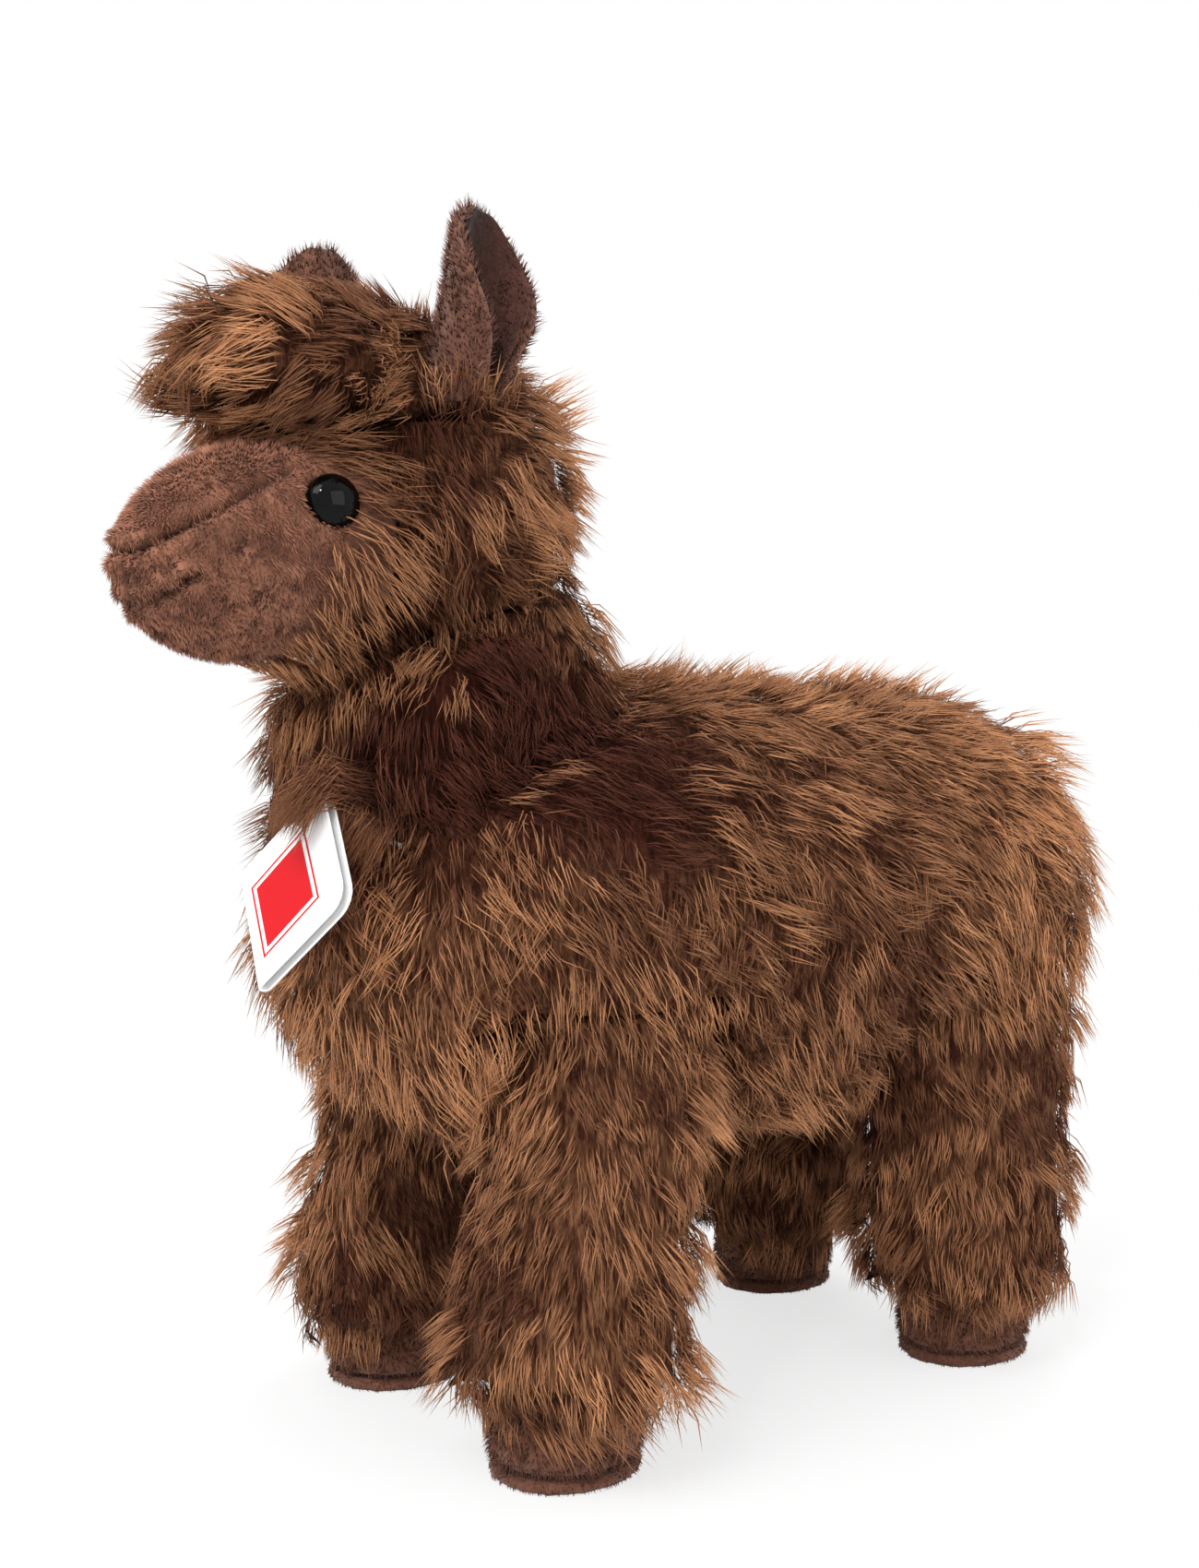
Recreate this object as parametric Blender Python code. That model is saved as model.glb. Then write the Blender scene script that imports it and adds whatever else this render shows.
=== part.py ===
"""A standing plush alpaca, about 24 cm tall, built from its sewn and stuffed sections.

Metres, +Z up. The animal looks along -Y and its left side is +X. While it is built, Y = 0 lies
between the two front feet; at the end everything moves so that the origin is the bottom centre.
"""

import math
import random
from bisect import bisect_left

import bmesh
import bpy
from mathutils import Matrix, Vector

MM = 0.001

# Clearances: sewn pieces meet face to face with SEAM_GAP between them
SEAM_GAP = 0.3 * MM
SOCKET_GAP = 0.4 * MM
CUT_REACH = 60.0 * MM  # how far a cutter runs past what it trims

# Stance: distances between the middles of the feet
STANCE_LENGTH = 109.0 * MM
STANCE_WIDTH = 63.0 * MM

# Torso
TORSO_FRONT_Y = -41.0 * MM
TORSO_LENGTH = 192.0 * MM
TORSO_WIDTH = 103.0 * MM
TORSO_HEIGHT = 93.0 * MM
BELLY_HEIGHT = 52.0 * MM
CHEST_RISE = 4.0 * MM

# Neck and head
NECK_WIDTH = 58.0 * MM
NECK_DEPTH = 66.0 * MM
NECK_Y = -9.0 * MM
NECK_FOOT_Z = 129.0 * MM
NECK_TOP_Z = 158.5 * MM
NECK_SLANT = math.radians(19.0)
HEAD_WIDTH = 56.0 * MM
HEAD_HEIGHT = 60.0 * MM
HEAD_LENGTH = 51.0 * MM
HEAD_LIFT = 23.5 * MM  # middle of the head above the neck's top
HEAD_MIDDLE_Z = NECK_TOP_Z + HEAD_LIFT
FACE_Y = -32.0 * MM
HEAD_TURN = math.radians(7.0)

# Muzzle, in short pile
MUZZLE_LENGTH = 45.0 * MM
MUZZLE_ROOT_WIDTH = 42.0 * MM
MUZZLE_ROOT_HEIGHT = 41.0 * MM
MUZZLE_TIP_WIDTH = 31.0 * MM
MUZZLE_TIP_HEIGHT = 37.5 * MM
MUZZLE_DROP = 9.5 * MM  # middle of its root below the head's middle
MUZZLE_SLOPE = 5.5 * MM  # middle of its tip below the middle of its root
MUZZLE_ROOT_Z = HEAD_MIDDLE_Z - MUZZLE_DROP
MUZZLE_TIP_Z = MUZZLE_ROOT_Z - MUZZLE_SLOPE
SEAM_GROOVE = 0.8 * MM

# Topknot: the puff of long pile over the brow
TOPKNOT_LENGTH = 55.0 * MM
TOPKNOT_WIDTH = 46.0 * MM
TOPKNOT_HEIGHT = 34.0 * MM
TOPKNOT_FRONT_Y = -66.0 * MM
TOPKNOT_LIFT = 21.5 * MM  # its middle above the head's middle
TOPKNOT_MIDDLE_Z = HEAD_MIDDLE_Z + TOPKNOT_LIFT
TOPKNOT_RISE = 6.0 * MM
TOPKNOT_SEAT_DROP = 8.7 * MM  # its flat seat below its middle
TOPKNOT_SEAT_Z = TOPKNOT_MIDDLE_Z - TOPKNOT_SEAT_DROP

# Ears: a plush back panel with a smooth lining sewn inside it
EAR_LENGTH = 37.5 * MM
EAR_PANEL_WIDTH = 45.0 * MM
EAR_CUP_RADIUS = 9.5 * MM
EAR_BACK_THICKNESS = 1.8 * MM
EAR_LINING_THICKNESS = 1.0 * MM
EAR_SPREAD = 36.0 * MM
EAR_Y = -22.0 * MM
EAR_LIFT = 17.0 * MM  # the ear's foot above the head's middle
EAR_FOOT_Z = HEAD_MIDDLE_Z + EAR_LIFT
EAR_OPEN_TURN = math.radians(14.0)
EAR_LEAN = math.radians(19.0)
EAR_TIP_BACK = math.radians(8.0)

# Eyes: a moulded dome with a stem that a washer locks behind the fabric
EYE_DIAMETER = 10.0 * MM
EYE_DOME_HEIGHT = 3.3 * MM
EYE_RIM = 0.7 * MM
EYE_STEM_DIAMETER = 2.6 * MM
EYE_STEM_LENGTH = 7.0 * MM
EYE_ALONG_MUZZLE = 0.30
EYE_ANGLE = math.radians(22.0)
EYE_SUNK = 1.5 * MM
WASHER_DIAMETER = 8.0 * MM
WASHER_THICKNESS = 1.2 * MM
WASHER_DEPTH = 4.0 * MM

# Legs, feet and soles
LEG_WIDTH = 43.0 * MM
LEG_DEPTH = 45.0 * MM
SHOULDER_DEPTH = 36.0 * MM
HAUNCH_DEPTH = 56.0 * MM
LEG_TOP_Z = 86.0 * MM
LEG_HEM_Z = 17.0 * MM
LEG_BELL = 1.5 * MM
FRONT_LEG_LEAN = 9.0 * MM
FOOT_WIDTH = 27.0 * MM
FOOT_LENGTH = 30.0 * MM
ANKLE_SHARE = 0.86
SOLE_THICKNESS = 2.6 * MM
SOLE_EDGE = 0.9 * MM

# Tail
TAIL_LENGTH = 35.0 * MM
TAIL_WIDTH = 20.0 * MM
TAIL_THICKNESS = 13.0 * MM
TAIL_ROOT_Z = 141.0 * MM
TAIL_ROOT_INSET = 17.0 * MM
TAIL_SLOPE = math.radians(60.0)

# Locks of the long pile
LOCK_LIFT = 4.2 * MM
LEG_LIFT = 3.6 * MM
LOCK_SAG = 1.6 * MM
LOCK_REACH = 1.22
NOTCH_LIFT = 0.22

# Swing tag: a folded card on a short plastic tie
TAG_SIDE = 26.0 * MM
TAG_CARD = 0.5 * MM
TAG_FOLD_RADIUS = 0.7 * MM
TAG_CORNER = 4.0 * MM
TAG_ACROSS = 22.9 * MM  # middle of the card, to the left of the neck's middle
TAG_FORWARD = -50.5 * MM
TAG_HEIGHT = 111.3 * MM
TAG_FACING = math.radians(3.5)
TAG_TIP_BACK = math.radians(19.2)
TAG_ROLL = math.radians(42.8)
TIE_DIAMETER = 1.1 * MM
TIE_HEAD_DIAMETER = 3.2 * MM
TIE_HOLE_INSET = 4.2 * MM
TIE_DEPTH = 20.0 * MM

# Colours of the materials
LONG_PILE = (0.105, 0.045, 0.022)
SHORT_PILE = (0.135, 0.052, 0.033)
EAR_LINING = (0.060, 0.026, 0.020)
SOLE_CLOTH = (0.095, 0.036, 0.026)
EYE_BLACK = (0.006, 0.005, 0.006)
WASHER_WHITE = (0.70, 0.70, 0.68)
CARD_WHITE = (0.86, 0.86, 0.85)
TIE_CLEAR = (0.75, 0.75, 0.74)

BACK = Vector((0, 1, 0))
FRONT = Vector((0, -1, 0))
LEFT = Vector((1, 0, 0))
UP = Vector((0, 0, 1))
DOWN = Vector((0, 0, -1))


# Scene and material helpers


def clear_scene():
    for obj in list(bpy.data.objects):
        bpy.data.objects.remove(obj, do_unlink=True)


def material(name, colour, roughness, metallic=0.0, sheen=0.0):
    made = bpy.data.materials.new(name)
    made.use_nodes = True
    shader = made.node_tree.nodes["Principled BSDF"]
    shader.inputs["Base Color"].default_value = (*colour, 1.0)
    shader.inputs["Roughness"].default_value = roughness
    shader.inputs["Metallic"].default_value = metallic
    shader.inputs["Sheen Weight"].default_value = sheen
    made.diffuse_color = (*colour, 1.0)
    return made


def link_mesh(name, bm, finish, smooth_angle=None):
    """Closes the bmesh into a named object with one material."""
    bmesh.ops.recalc_face_normals(bm, faces=bm.faces)
    mesh = bpy.data.meshes.new(name)
    bm.to_mesh(mesh)
    bm.free()
    if finish:
        mesh.materials.append(finish)
    if smooth_angle is not None:
        mesh.shade_smooth()
        mesh.set_sharp_from_angle(angle=smooth_angle)
    obj = bpy.data.objects.new(name, mesh)
    bpy.context.scene.collection.objects.link(obj)
    return obj


def as_cutter(obj):
    obj.hide_render = True
    obj.display_type = "WIRE"
    return obj


def cut(obj, *cutters):
    for cutter in cutters:
        modifier = obj.modifiers.new("cut by " + cutter.name, "BOOLEAN")
        modifier.operation = "DIFFERENCE"
        modifier.solver = "EXACT"
        modifier.object = cutter


def keep_one_body(obj):
    """Applies an object's cuts and drops the slivers that they leave, so that one closed body stays."""
    bpy.context.view_layer.update()
    graph = bpy.context.evaluated_depsgraph_get()
    bm = bmesh.new()
    bm.from_mesh(obj.evaluated_get(graph).to_mesh())
    obj.modifiers.clear()
    bmesh.ops.triangulate(bm, faces=bm.faces)
    twins = {}
    for face in bm.faces:
        twins.setdefault(frozenset(v.index for v in face.verts), []).append(face)
    flaps = [f for pair in twins.values() if len(pair) > 1 for f in pair]
    bmesh.ops.delete(bm, geom=flaps, context="FACES_ONLY")
    left = set(bm.faces)
    bodies = []
    while left:
        body, edge_of = [], [left.pop()]
        while edge_of:
            face = edge_of.pop()
            body.append(face)
            near = {f for e in face.edges if len(e.link_faces) == 2 for f in e.link_faces} & left
            left -= near
            edge_of.extend(near)
        bodies.append(body)
    bodies.sort(key=lambda b: sum(f.calc_area() for f in b))
    chips = [f for body in bodies[:-1] for f in body]
    bmesh.ops.delete(bm, geom=chips, context="FACES")
    bm.to_mesh(obj.data)
    bm.free()


# Stuffed forms


class Form:
    """A stuffed section swept from start to end. Its rings are ellipses, spanned by side and rise."""

    def __init__(self, start, end, side, rise, width, height, end_width=None, end_height=None,
                 start_round=0.0, end_round=0.0, start_share=0.0, square=2.0):
        self.start, self.end = Vector(start), Vector(end)
        self.side, self.rise = side, rise
        self.along = side.cross(rise).normalized()
        if self.along.dot(self.end - self.start) < 0:
            self.along.negate()
        self.width, self.height = width, height
        self.end_width = width if end_width is None else end_width
        self.end_height = height if end_height is None else end_height
        self.start_round, self.end_round = start_round, end_round
        self.start_share = start_share
        self.square = square

    def share(self, t):
        """How much of its full section the form has at t, from 0 at its start to 1 at its end."""
        t = min(max(t, 0.0), 1.0)
        if t < self.start_round:
            u = 1 - t / self.start_round
            return self.start_share + (1 - self.start_share) * math.sqrt(max(0.0, 1 - u**2))
        if t > 1 - self.end_round:
            u = 1 - (1 - t) / self.end_round
            return math.sqrt(max(0.0, 1 - min(u, 1.0) ** 2))
        return 1.0

    def radii(self, t, grow=0.0):
        share = self.share(t)
        across = (self.width + (self.end_width - self.width) * t) / 2
        upward = (self.height + (self.end_height - self.height) * t) / 2
        return across * share + grow, upward * share + grow

    def point(self, t, angle, grow=0.0):
        """A point on the form's skin, raised by grow."""
        across, upward = self.radii(t, grow)
        cos, sin = math.cos(angle), math.sin(angle)
        power = 2 / self.square
        x = math.copysign(abs(cos) ** power, cos) * across
        y = math.copysign(abs(sin) ** power, sin) * upward
        return self.start.lerp(self.end, t) + self.side * x + self.rise * y

    def normal(self, t, angle, step=0.01):
        """The outward direction of the skin."""
        across = self.point(t, angle + step) - self.point(t, angle - step)
        onward = self.point(min(1, t + step), angle) - self.point(max(0, t - step), angle)
        out = across.cross(onward).normalized()
        return out if out.dot(self.point(t, angle) - self.start.lerp(self.end, t)) > 0 else -out

    def even_steps(self, count):
        """count + 1 places along the form that are evenly spaced over its outline."""
        fine = 300
        length = (self.end - self.start).length
        run = [0.0]
        for k in range(fine):
            rise = self.radii((k + 1) / fine)[1] - self.radii(k / fine)[1]
            run.append(run[-1] + math.hypot(length / fine, rise))
        steps = []
        for k in range(count + 1):
            wanted = run[-1] * k / count
            at = min(max(bisect_left(run, wanted), 1), fine)
            span = run[at] - run[at - 1]
            steps.append((at - 1 + (wanted - run[at - 1]) / span) / fine)
        return steps


def bridge(bm, first, second):
    """Quads between two rings of equal count."""
    count = len(first)
    for j in range(count):
        k = (j + 1) % count
        bm.faces.new((first[j], first[k], second[k], second[j]))


def close_end(bm, ring, pole=None):
    """A flat cap, or a fan to a pole."""
    if pole is None:
        bm.faces.new(ring)
        return
    tip = bm.verts.new(pole)
    for j in range(len(ring)):
        bm.faces.new((ring[j], ring[(j + 1) % len(ring)], tip))


def smooth_form(name, form, sides, rings, finish, grow=0.0):
    """The plain skin of a form, with flat or rounded ends as the form has."""
    bm = bmesh.new()
    steps = form.even_steps(rings)
    round_start = form.share(0.0) < 0.01
    round_end = form.share(1.0) < 0.01
    made = []
    for k, t in enumerate(steps):
        if (k == 0 and round_start) or (k == rings and round_end):
            continue
        angles = [2 * math.pi * j / sides for j in range(sides)]
        made.append([bm.verts.new(form.point(t, a, grow)) for a in angles])
    for first, second in zip(made, made[1:]):
        bridge(bm, first, second)
    close_end(bm, made[0], form.start - form.along * grow if round_start else None)
    close_end(bm, made[-1], form.end + form.along * grow if round_end else None)
    return link_mesh(name, bm, finish, math.radians(40))


def shaggy_form(name, form, rows, locks, finish, seed, lift=LOCK_LIFT, sag=LOCK_SAG, hem=LOCK_REACH):
    """A form in long pile: rows of locks lie over each other like thatch, each with its own length."""
    bm = bmesh.new()
    chance = random.Random(seed)
    sides = 2 * locks
    angles = [2 * math.pi * j / sides for j in range(sides)]
    steps = form.even_steps(rows)
    round_start = form.share(0.0) < 0.01
    round_end = form.share(1.0) < 0.01
    made = []
    for row in range(rows):
        here, onward = steps[row], steps[row + 1]
        if row > 0 or not round_start:
            made.append([bm.verts.new(form.point(here, a)) for a in angles])
        last_round_row = round_end and row == rows - 1
        if last_round_row:
            break
        tips = []
        for j, angle in enumerate(angles):
            is_tip = (j + row) % 2 == 0
            vary = 0.7 + 0.6 * chance.random()
            full_reach = 1.0 if round_end and row == rows - 2 else LOCK_REACH
            if row == rows - 1:
                full_reach = hem
            reach = full_reach if is_tip else min(0.72, 0.9 * hem)
            raised = lift * vary if is_tip else lift * NOTCH_LIFT
            at = here + (onward - here) * reach
            fade = min(1.0, 1.2 * form.share(min(at, 1.0)) + 0.3)
            out = form.normal(min(at, 1.0), angle)
            point = form.point(min(at, 1.0), angle) + out * raised * fade
            point += form.along * (max(0.0, at - 1.0) * (form.end - form.start).length)
            point += (DOWN - out * DOWN.dot(out)) * (sag * vary * fade if is_tip else 0.0)
            tips.append(bm.verts.new(point))
        made.append(tips)
    if not round_end:
        made.append([bm.verts.new(form.point(1.0, a)) for a in angles])
    for first, second in zip(made, made[1:]):
        bridge(bm, first, second)
    close_end(bm, made[0], form.start if round_start else None)
    close_end(bm, made[-1], form.end if round_end else None)
    return link_mesh(name, bm, finish, math.radians(25))


def socket(name, form, extra=LOCK_LIFT * 1.3 + LOCK_SAG, beyond=0.0, behind=0.0):
    """A cutter that clears a form with its locks: its own skin, raised, and lengthened at its ends."""
    length = (form.end - form.start).length
    lead = (form.end - form.start).normalized()
    roomy = Form(form.start - lead * behind, form.end + lead * beyond, form.side, form.rise,
                 form.width, form.height, form.end_width, form.end_height,
                 form.start_round * length / (length + beyond + behind),
                 form.end_round * length / (length + beyond + behind), form.start_share, form.square)
    return as_cutter(smooth_form(name, roomy, 28, 10, None, extra))


def turned_profile(name, profile, sides, finish):
    """A solid turned about Z from (radius, height) points; points on the axis become poles."""
    bm = bmesh.new()
    rings = []
    for radius, height in profile:
        if radius < 1e-7:
            rings.append([bm.verts.new((0, 0, height))])
            continue
        turn = [2 * math.pi * j / sides for j in range(sides)]
        rings.append([bm.verts.new((radius * math.cos(a), radius * math.sin(a), height)) for a in turn])
    closed = len(rings[0]) > 1 and len(rings[-1]) > 1
    pairs = list(zip(rings, rings[1:])) + ([(rings[-1], rings[0])] if closed else [])
    for first, second in pairs:
        for j in range(sides):
            k = (j + 1) % sides
            corners = [first[j % len(first)], first[k % len(first)],
                       second[k % len(second)], second[j % len(second)]]
            bm.faces.new(list(dict.fromkeys(corners)))
    return link_mesh(name, bm, finish, math.radians(35))


# The forms that the sections share


def torso_form():
    middle = BELLY_HEIGHT + TORSO_HEIGHT / 2
    front = Vector((0, TORSO_FRONT_Y, middle + CHEST_RISE))
    rear = Vector((0, TORSO_FRONT_Y + TORSO_LENGTH, middle))
    return Form(front, rear, LEFT, UP, TORSO_WIDTH, TORSO_HEIGHT,
                start_round=0.27, end_round=0.16, square=2.35)


def neck_form():
    foot = Vector((0, NECK_Y, NECK_FOOT_Z))
    top = Vector((0, NECK_Y, NECK_TOP_Z))
    rise = Vector((0, math.cos(NECK_SLANT), math.sin(NECK_SLANT)))
    return Form(top, foot, LEFT, rise, NECK_WIDTH, NECK_DEPTH,
                end_width=NECK_WIDTH + 4 * MM, end_height=NECK_DEPTH + 2 * MM)


def head_form():
    front = Vector((0, FACE_Y, HEAD_MIDDLE_Z))
    return Form(front, front + BACK * HEAD_LENGTH, LEFT, UP, HEAD_WIDTH, HEAD_HEIGHT,
                start_round=0.3, end_round=0.55, start_share=0.84)


def muzzle_form():
    root = Vector((0, FACE_Y - SEAM_GAP, MUZZLE_ROOT_Z))
    tip = Vector((0, FACE_Y - SEAM_GAP - MUZZLE_LENGTH, MUZZLE_TIP_Z))
    return Form(root, tip, LEFT, UP, MUZZLE_ROOT_WIDTH, MUZZLE_ROOT_HEIGHT,
                MUZZLE_TIP_WIDTH, MUZZLE_TIP_HEIGHT, end_round=0.6, square=2.2)


def topknot_form():
    front = Vector((0, TOPKNOT_FRONT_Y, TOPKNOT_MIDDLE_Z - TOPKNOT_RISE / 2))
    rear = front + BACK * TOPKNOT_LENGTH + UP * TOPKNOT_RISE
    return Form(rear, front, LEFT, UP, TOPKNOT_WIDTH, TOPKNOT_HEIGHT, start_round=0.45, end_round=0.42)


def leg_form(x, y, top_depth, lean):
    top = Vector((x, y + lean, LEG_TOP_Z))
    hem = Vector((x, y, LEG_HEM_Z))
    return Form(top, hem, LEFT, BACK, LEG_WIDTH - 2 * LEG_BELL, top_depth,
                LEG_WIDTH + LEG_BELL, LEG_DEPTH + LEG_BELL)


def foot_form(x, y):
    ankle = Vector((x, y, LEG_HEM_Z - SEAM_GAP))
    base = Vector((x, y, SOLE_THICKNESS + SEAM_GAP))
    return Form(ankle, base, LEFT, BACK, FOOT_WIDTH * ANKLE_SHARE, FOOT_LENGTH * ANKLE_SHARE,
                FOOT_WIDTH, FOOT_LENGTH)


def tail_form():
    root = Vector((0, TORSO_FRONT_Y + TORSO_LENGTH - TAIL_ROOT_INSET, TAIL_ROOT_Z))
    lead = Vector((0, math.cos(TAIL_SLOPE), -math.sin(TAIL_SLOPE)))
    return Form(root, root + lead * TAIL_LENGTH, LEFT, LEFT.cross(lead), TAIL_WIDTH, TAIL_THICKNESS,
                end_round=0.5)


# Sections


def build_torso(finish, neck, legs, tail):
    torso = shaggy_form("torso", torso_form(), 13, 21, finish, seed=11)
    cut(torso, socket("neck_room", neck, behind=CUT_REACH, beyond=SOCKET_GAP),
        *[socket(f"leg_room_{k}", leg, behind=SEAM_GAP, beyond=CUT_REACH) for k, leg in enumerate(legs)],
        socket("tail_room", tail, behind=SEAM_GAP, beyond=CUT_REACH / 3))
    return torso


def groove(name, form, path, radius):
    """A tube that runs along the skin of a form, to cut a seam's groove. path holds (t, angle) pairs."""
    bm = bmesh.new()
    sides = 6
    rings = []
    points = [form.point(t, a) for t, a in path]
    for k, point in enumerate(points):
        ahead = (points[min(k + 1, len(points) - 1)] - points[max(k - 1, 0)]).normalized()
        out = form.normal(*path[k])
        across = ahead.cross(out).normalized()
        out = across.cross(ahead)
        turn = [2 * math.pi * (j + 0.5) / sides for j in range(sides)]
        rings.append([bm.verts.new(point + (across * math.cos(a) + out * math.sin(a)) * radius)
                      for a in turn])
    for first, second in zip(rings, rings[1:]):
        bridge(bm, first, second)
    close_end(bm, rings[0])
    close_end(bm, rings[-1])
    return as_cutter(link_mesh(name, bm, None))


def seam_path(start, end, bow, count):
    """(t, angle) pairs from start to end, bowed in angle by bow at the middle."""
    pairs = []
    for k in range(count + 1):
        u = k / count
        t = start[0] + (end[0] - start[0]) * u
        angle = start[1] + (end[1] - start[1]) * u + bow * math.sin(math.pi * u)
        pairs.append((t, angle))
    return pairs


def build_muzzle(finish, eyes):
    form = muzzle_form()
    muzzle = smooth_form("muzzle", form, 28, 12, finish)
    up, down = math.pi / 2, -math.pi / 2
    for side in (1, -1):
        word = "left" if side > 0 else "right"
        bridge_seam = seam_path((0.26, up - side * math.radians(44)),
                                (0.93, up - side * math.radians(80)), 0.0, 6)
        lips = seam_path((0.955, down + side * math.radians(60)),
                         (0.80, down + side * math.radians(62)), side * 0.10, 4)
        cut(muzzle, groove("bridge_seam_" + word, form, bridge_seam, SEAM_GROOVE),
            groove("lip_" + word, form, lips, SEAM_GROOVE))
    for cutter in eyes:
        cut(muzzle, cutter)
    return muzzle


def eye_frame(side):
    """Where an eye sits on the muzzle's skin: Z points out of the face."""
    form = muzzle_form()
    angle = EYE_ANGLE if side > 0 else math.pi - EYE_ANGLE
    out = form.normal(EYE_ALONG_MUZZLE, angle)
    out = (out + FRONT * 0.12).normalized()
    place = form.point(EYE_ALONG_MUZZLE, angle) - out * EYE_SUNK
    return Matrix.Translation(place) @ out.to_track_quat("Z", "Y").to_matrix().to_4x4()


def build_eye(name, side, finish):
    """Dome, rim and stem in one moulding."""
    radius, stem = EYE_DIAMETER / 2, EYE_STEM_DIAMETER / 2
    profile = [(0.0, EYE_RIM + EYE_DOME_HEIGHT)]
    steps = 5
    for k in range(1, steps + 1):
        angle = math.pi / 2 * k / steps
        profile.append((radius * math.sin(angle), EYE_RIM + EYE_DOME_HEIGHT * math.cos(angle)))
    profile += [(radius, 0.0), (stem, 0.0), (stem, -EYE_STEM_LENGTH + 0.6 * MM),
                (stem - 0.6 * MM, -EYE_STEM_LENGTH), (0.0, -EYE_STEM_LENGTH)]
    eye = turned_profile(name, profile, 16, finish)
    eye.matrix_world = eye_frame(side)
    return eye


def build_washer(name, side, finish):
    """The lock washer, pushed on the stem behind the fabric."""
    inner, outer = EYE_STEM_DIAMETER / 2 + 0.1 * MM, WASHER_DIAMETER / 2
    back, front = -WASHER_DEPTH - WASHER_THICKNESS, -WASHER_DEPTH
    profile = [(inner, front + 0.4 * MM), (inner, back), (outer, back), (outer, front),
               (inner + 1.2 * MM, front)]
    washer = turned_profile(name, profile, 12, finish)
    washer.matrix_world = eye_frame(side)
    return washer


def eye_room(name, side):
    """What the eye, its stem and its washer need inside the face, as one stepped cutter."""
    gap = SEAM_GAP
    stem, washer = EYE_STEM_DIAMETER / 2 + gap, WASHER_DIAMETER / 2 + gap
    back = -EYE_STEM_LENGTH - gap
    washer_back = -WASHER_DEPTH - WASHER_THICKNESS - gap
    washer_front = -WASHER_DEPTH + 0.4 * MM + gap
    profile = [(0.0, back), (stem, back), (stem, washer_back), (washer, washer_back),
               (washer, washer_front), (stem, washer_front), (stem, -gap),
               (EYE_DIAMETER / 2 + gap, -gap), (EYE_DIAMETER / 2 + gap, 9 * MM), (0.0, 9 * MM)]
    room = turned_profile(name, profile, 14, None)
    room.matrix_world = eye_frame(side)
    return as_cutter(room)


def ear_point(u, v, depth):
    """A point of the ear's cupped leaf. u runs from rim to rim, v from foot to tip, depth goes inwards."""
    leaf = math.sin(math.pi * min(1.0, 0.30 + 0.70 * v)) ** 0.72 if v < 1 else 0.0
    half_arc = EAR_PANEL_WIDTH / 2 * leaf
    cup = EAR_CUP_RADIUS * (0.82 + 0.9 * v**2)
    angle = half_arc / cup * u
    radius = cup - depth
    forward = -math.sin(angle) * radius
    outward = -math.cos(angle) * radius + cup * 0.55
    return Vector((outward, forward, v * EAR_LENGTH))


def ear_panel(name, outer_depth, inner_depth, finish, grow=0.0, low=0.0, high=0.97):
    """A cupped panel between two depths of the ear, from low to high, widened by grow at its rims."""
    bm = bmesh.new()
    across, upward = 8, 7
    widen = 1 + 2 * grow / EAR_PANEL_WIDTH
    rims = []
    for depth in (outer_depth, inner_depth):
        grid = []
        for i in range(upward + 1):
            v = low + (high - low) * (i / upward) ** 0.9
            grid.append([bm.verts.new(ear_point((2 * j / across - 1) * widen, v, depth))
                         for j in range(across + 1)])
        rims.append(grid)
    outer, inner = rims
    for grid in rims:
        for i in range(upward):
            for j in range(across):
                bm.faces.new((grid[i][j], grid[i][j + 1], grid[i + 1][j + 1], grid[i + 1][j]))
    for i in range(upward):
        for j in (0, across):
            bm.faces.new((outer[i][j], outer[i + 1][j], inner[i + 1][j], inner[i][j]))
    for j in range(across):
        for i in (0, upward):
            bm.faces.new((outer[i][j], outer[i][j + 1], inner[i][j + 1], inner[i][j]))
    return link_mesh(name, bm, finish, math.radians(50))


def ear_matrix(side):
    """Places an ear so that its cup opens to its own side of the head."""
    place = Matrix.Translation(Vector((side * EAR_SPREAD / 2, EAR_Y, EAR_FOOT_Z)))
    lean = Matrix.Rotation(side * EAR_LEAN, 4, "Y") @ Matrix.Rotation(-EAR_TIP_BACK, 4, "X")
    turn = Matrix.Rotation(side * EAR_OPEN_TURN, 4, "Z")
    face = Matrix.Diagonal(Vector((side, 1, 1, 1)))
    return place @ lean @ turn @ face


def place_mesh(obj, matrix):
    """Bakes a placement into the mesh, turning its faces back out where it mirrors."""
    obj.data.transform(matrix)
    if matrix.determinant() < 0:
        obj.data.flip_normals()


def build_ear(name, side, depths, finish):
    ear = ear_panel(name, *depths, finish)
    place_mesh(ear, ear_matrix(side))
    return ear


def ear_room(name, side):
    """The slot in the crown that an ear's foot is sewn into."""
    whole = EAR_BACK_THICKNESS + SEAM_GAP + EAR_LINING_THICKNESS
    room = ear_panel(name, -SOCKET_GAP, whole + SOCKET_GAP, None, grow=1.4 * MM, low=-0.02, high=0.6)
    place_mesh(room, ear_matrix(side))
    return as_cutter(room)


def build_foot(name, x, y, finish):
    """The short-pile end of a leg, which swells towards its sole."""
    form = foot_form(x, y)
    bm = bmesh.new()
    sides = 18
    rings = []
    for t in (0.0, 0.45, 0.85, 1.0):
        tuck = -0.9 * MM if t == 1.0 else 0.6 * MM * math.sin(math.pi * t)
        turn = [2 * math.pi * j / sides for j in range(sides)]
        rings.append([bm.verts.new(form.point(t, a, tuck)) for a in turn])
    for first, second in zip(rings, rings[1:]):
        bridge(bm, first, second)
    close_end(bm, rings[0])
    close_end(bm, rings[-1])
    return link_mesh(name, bm, finish, math.radians(50))


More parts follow.
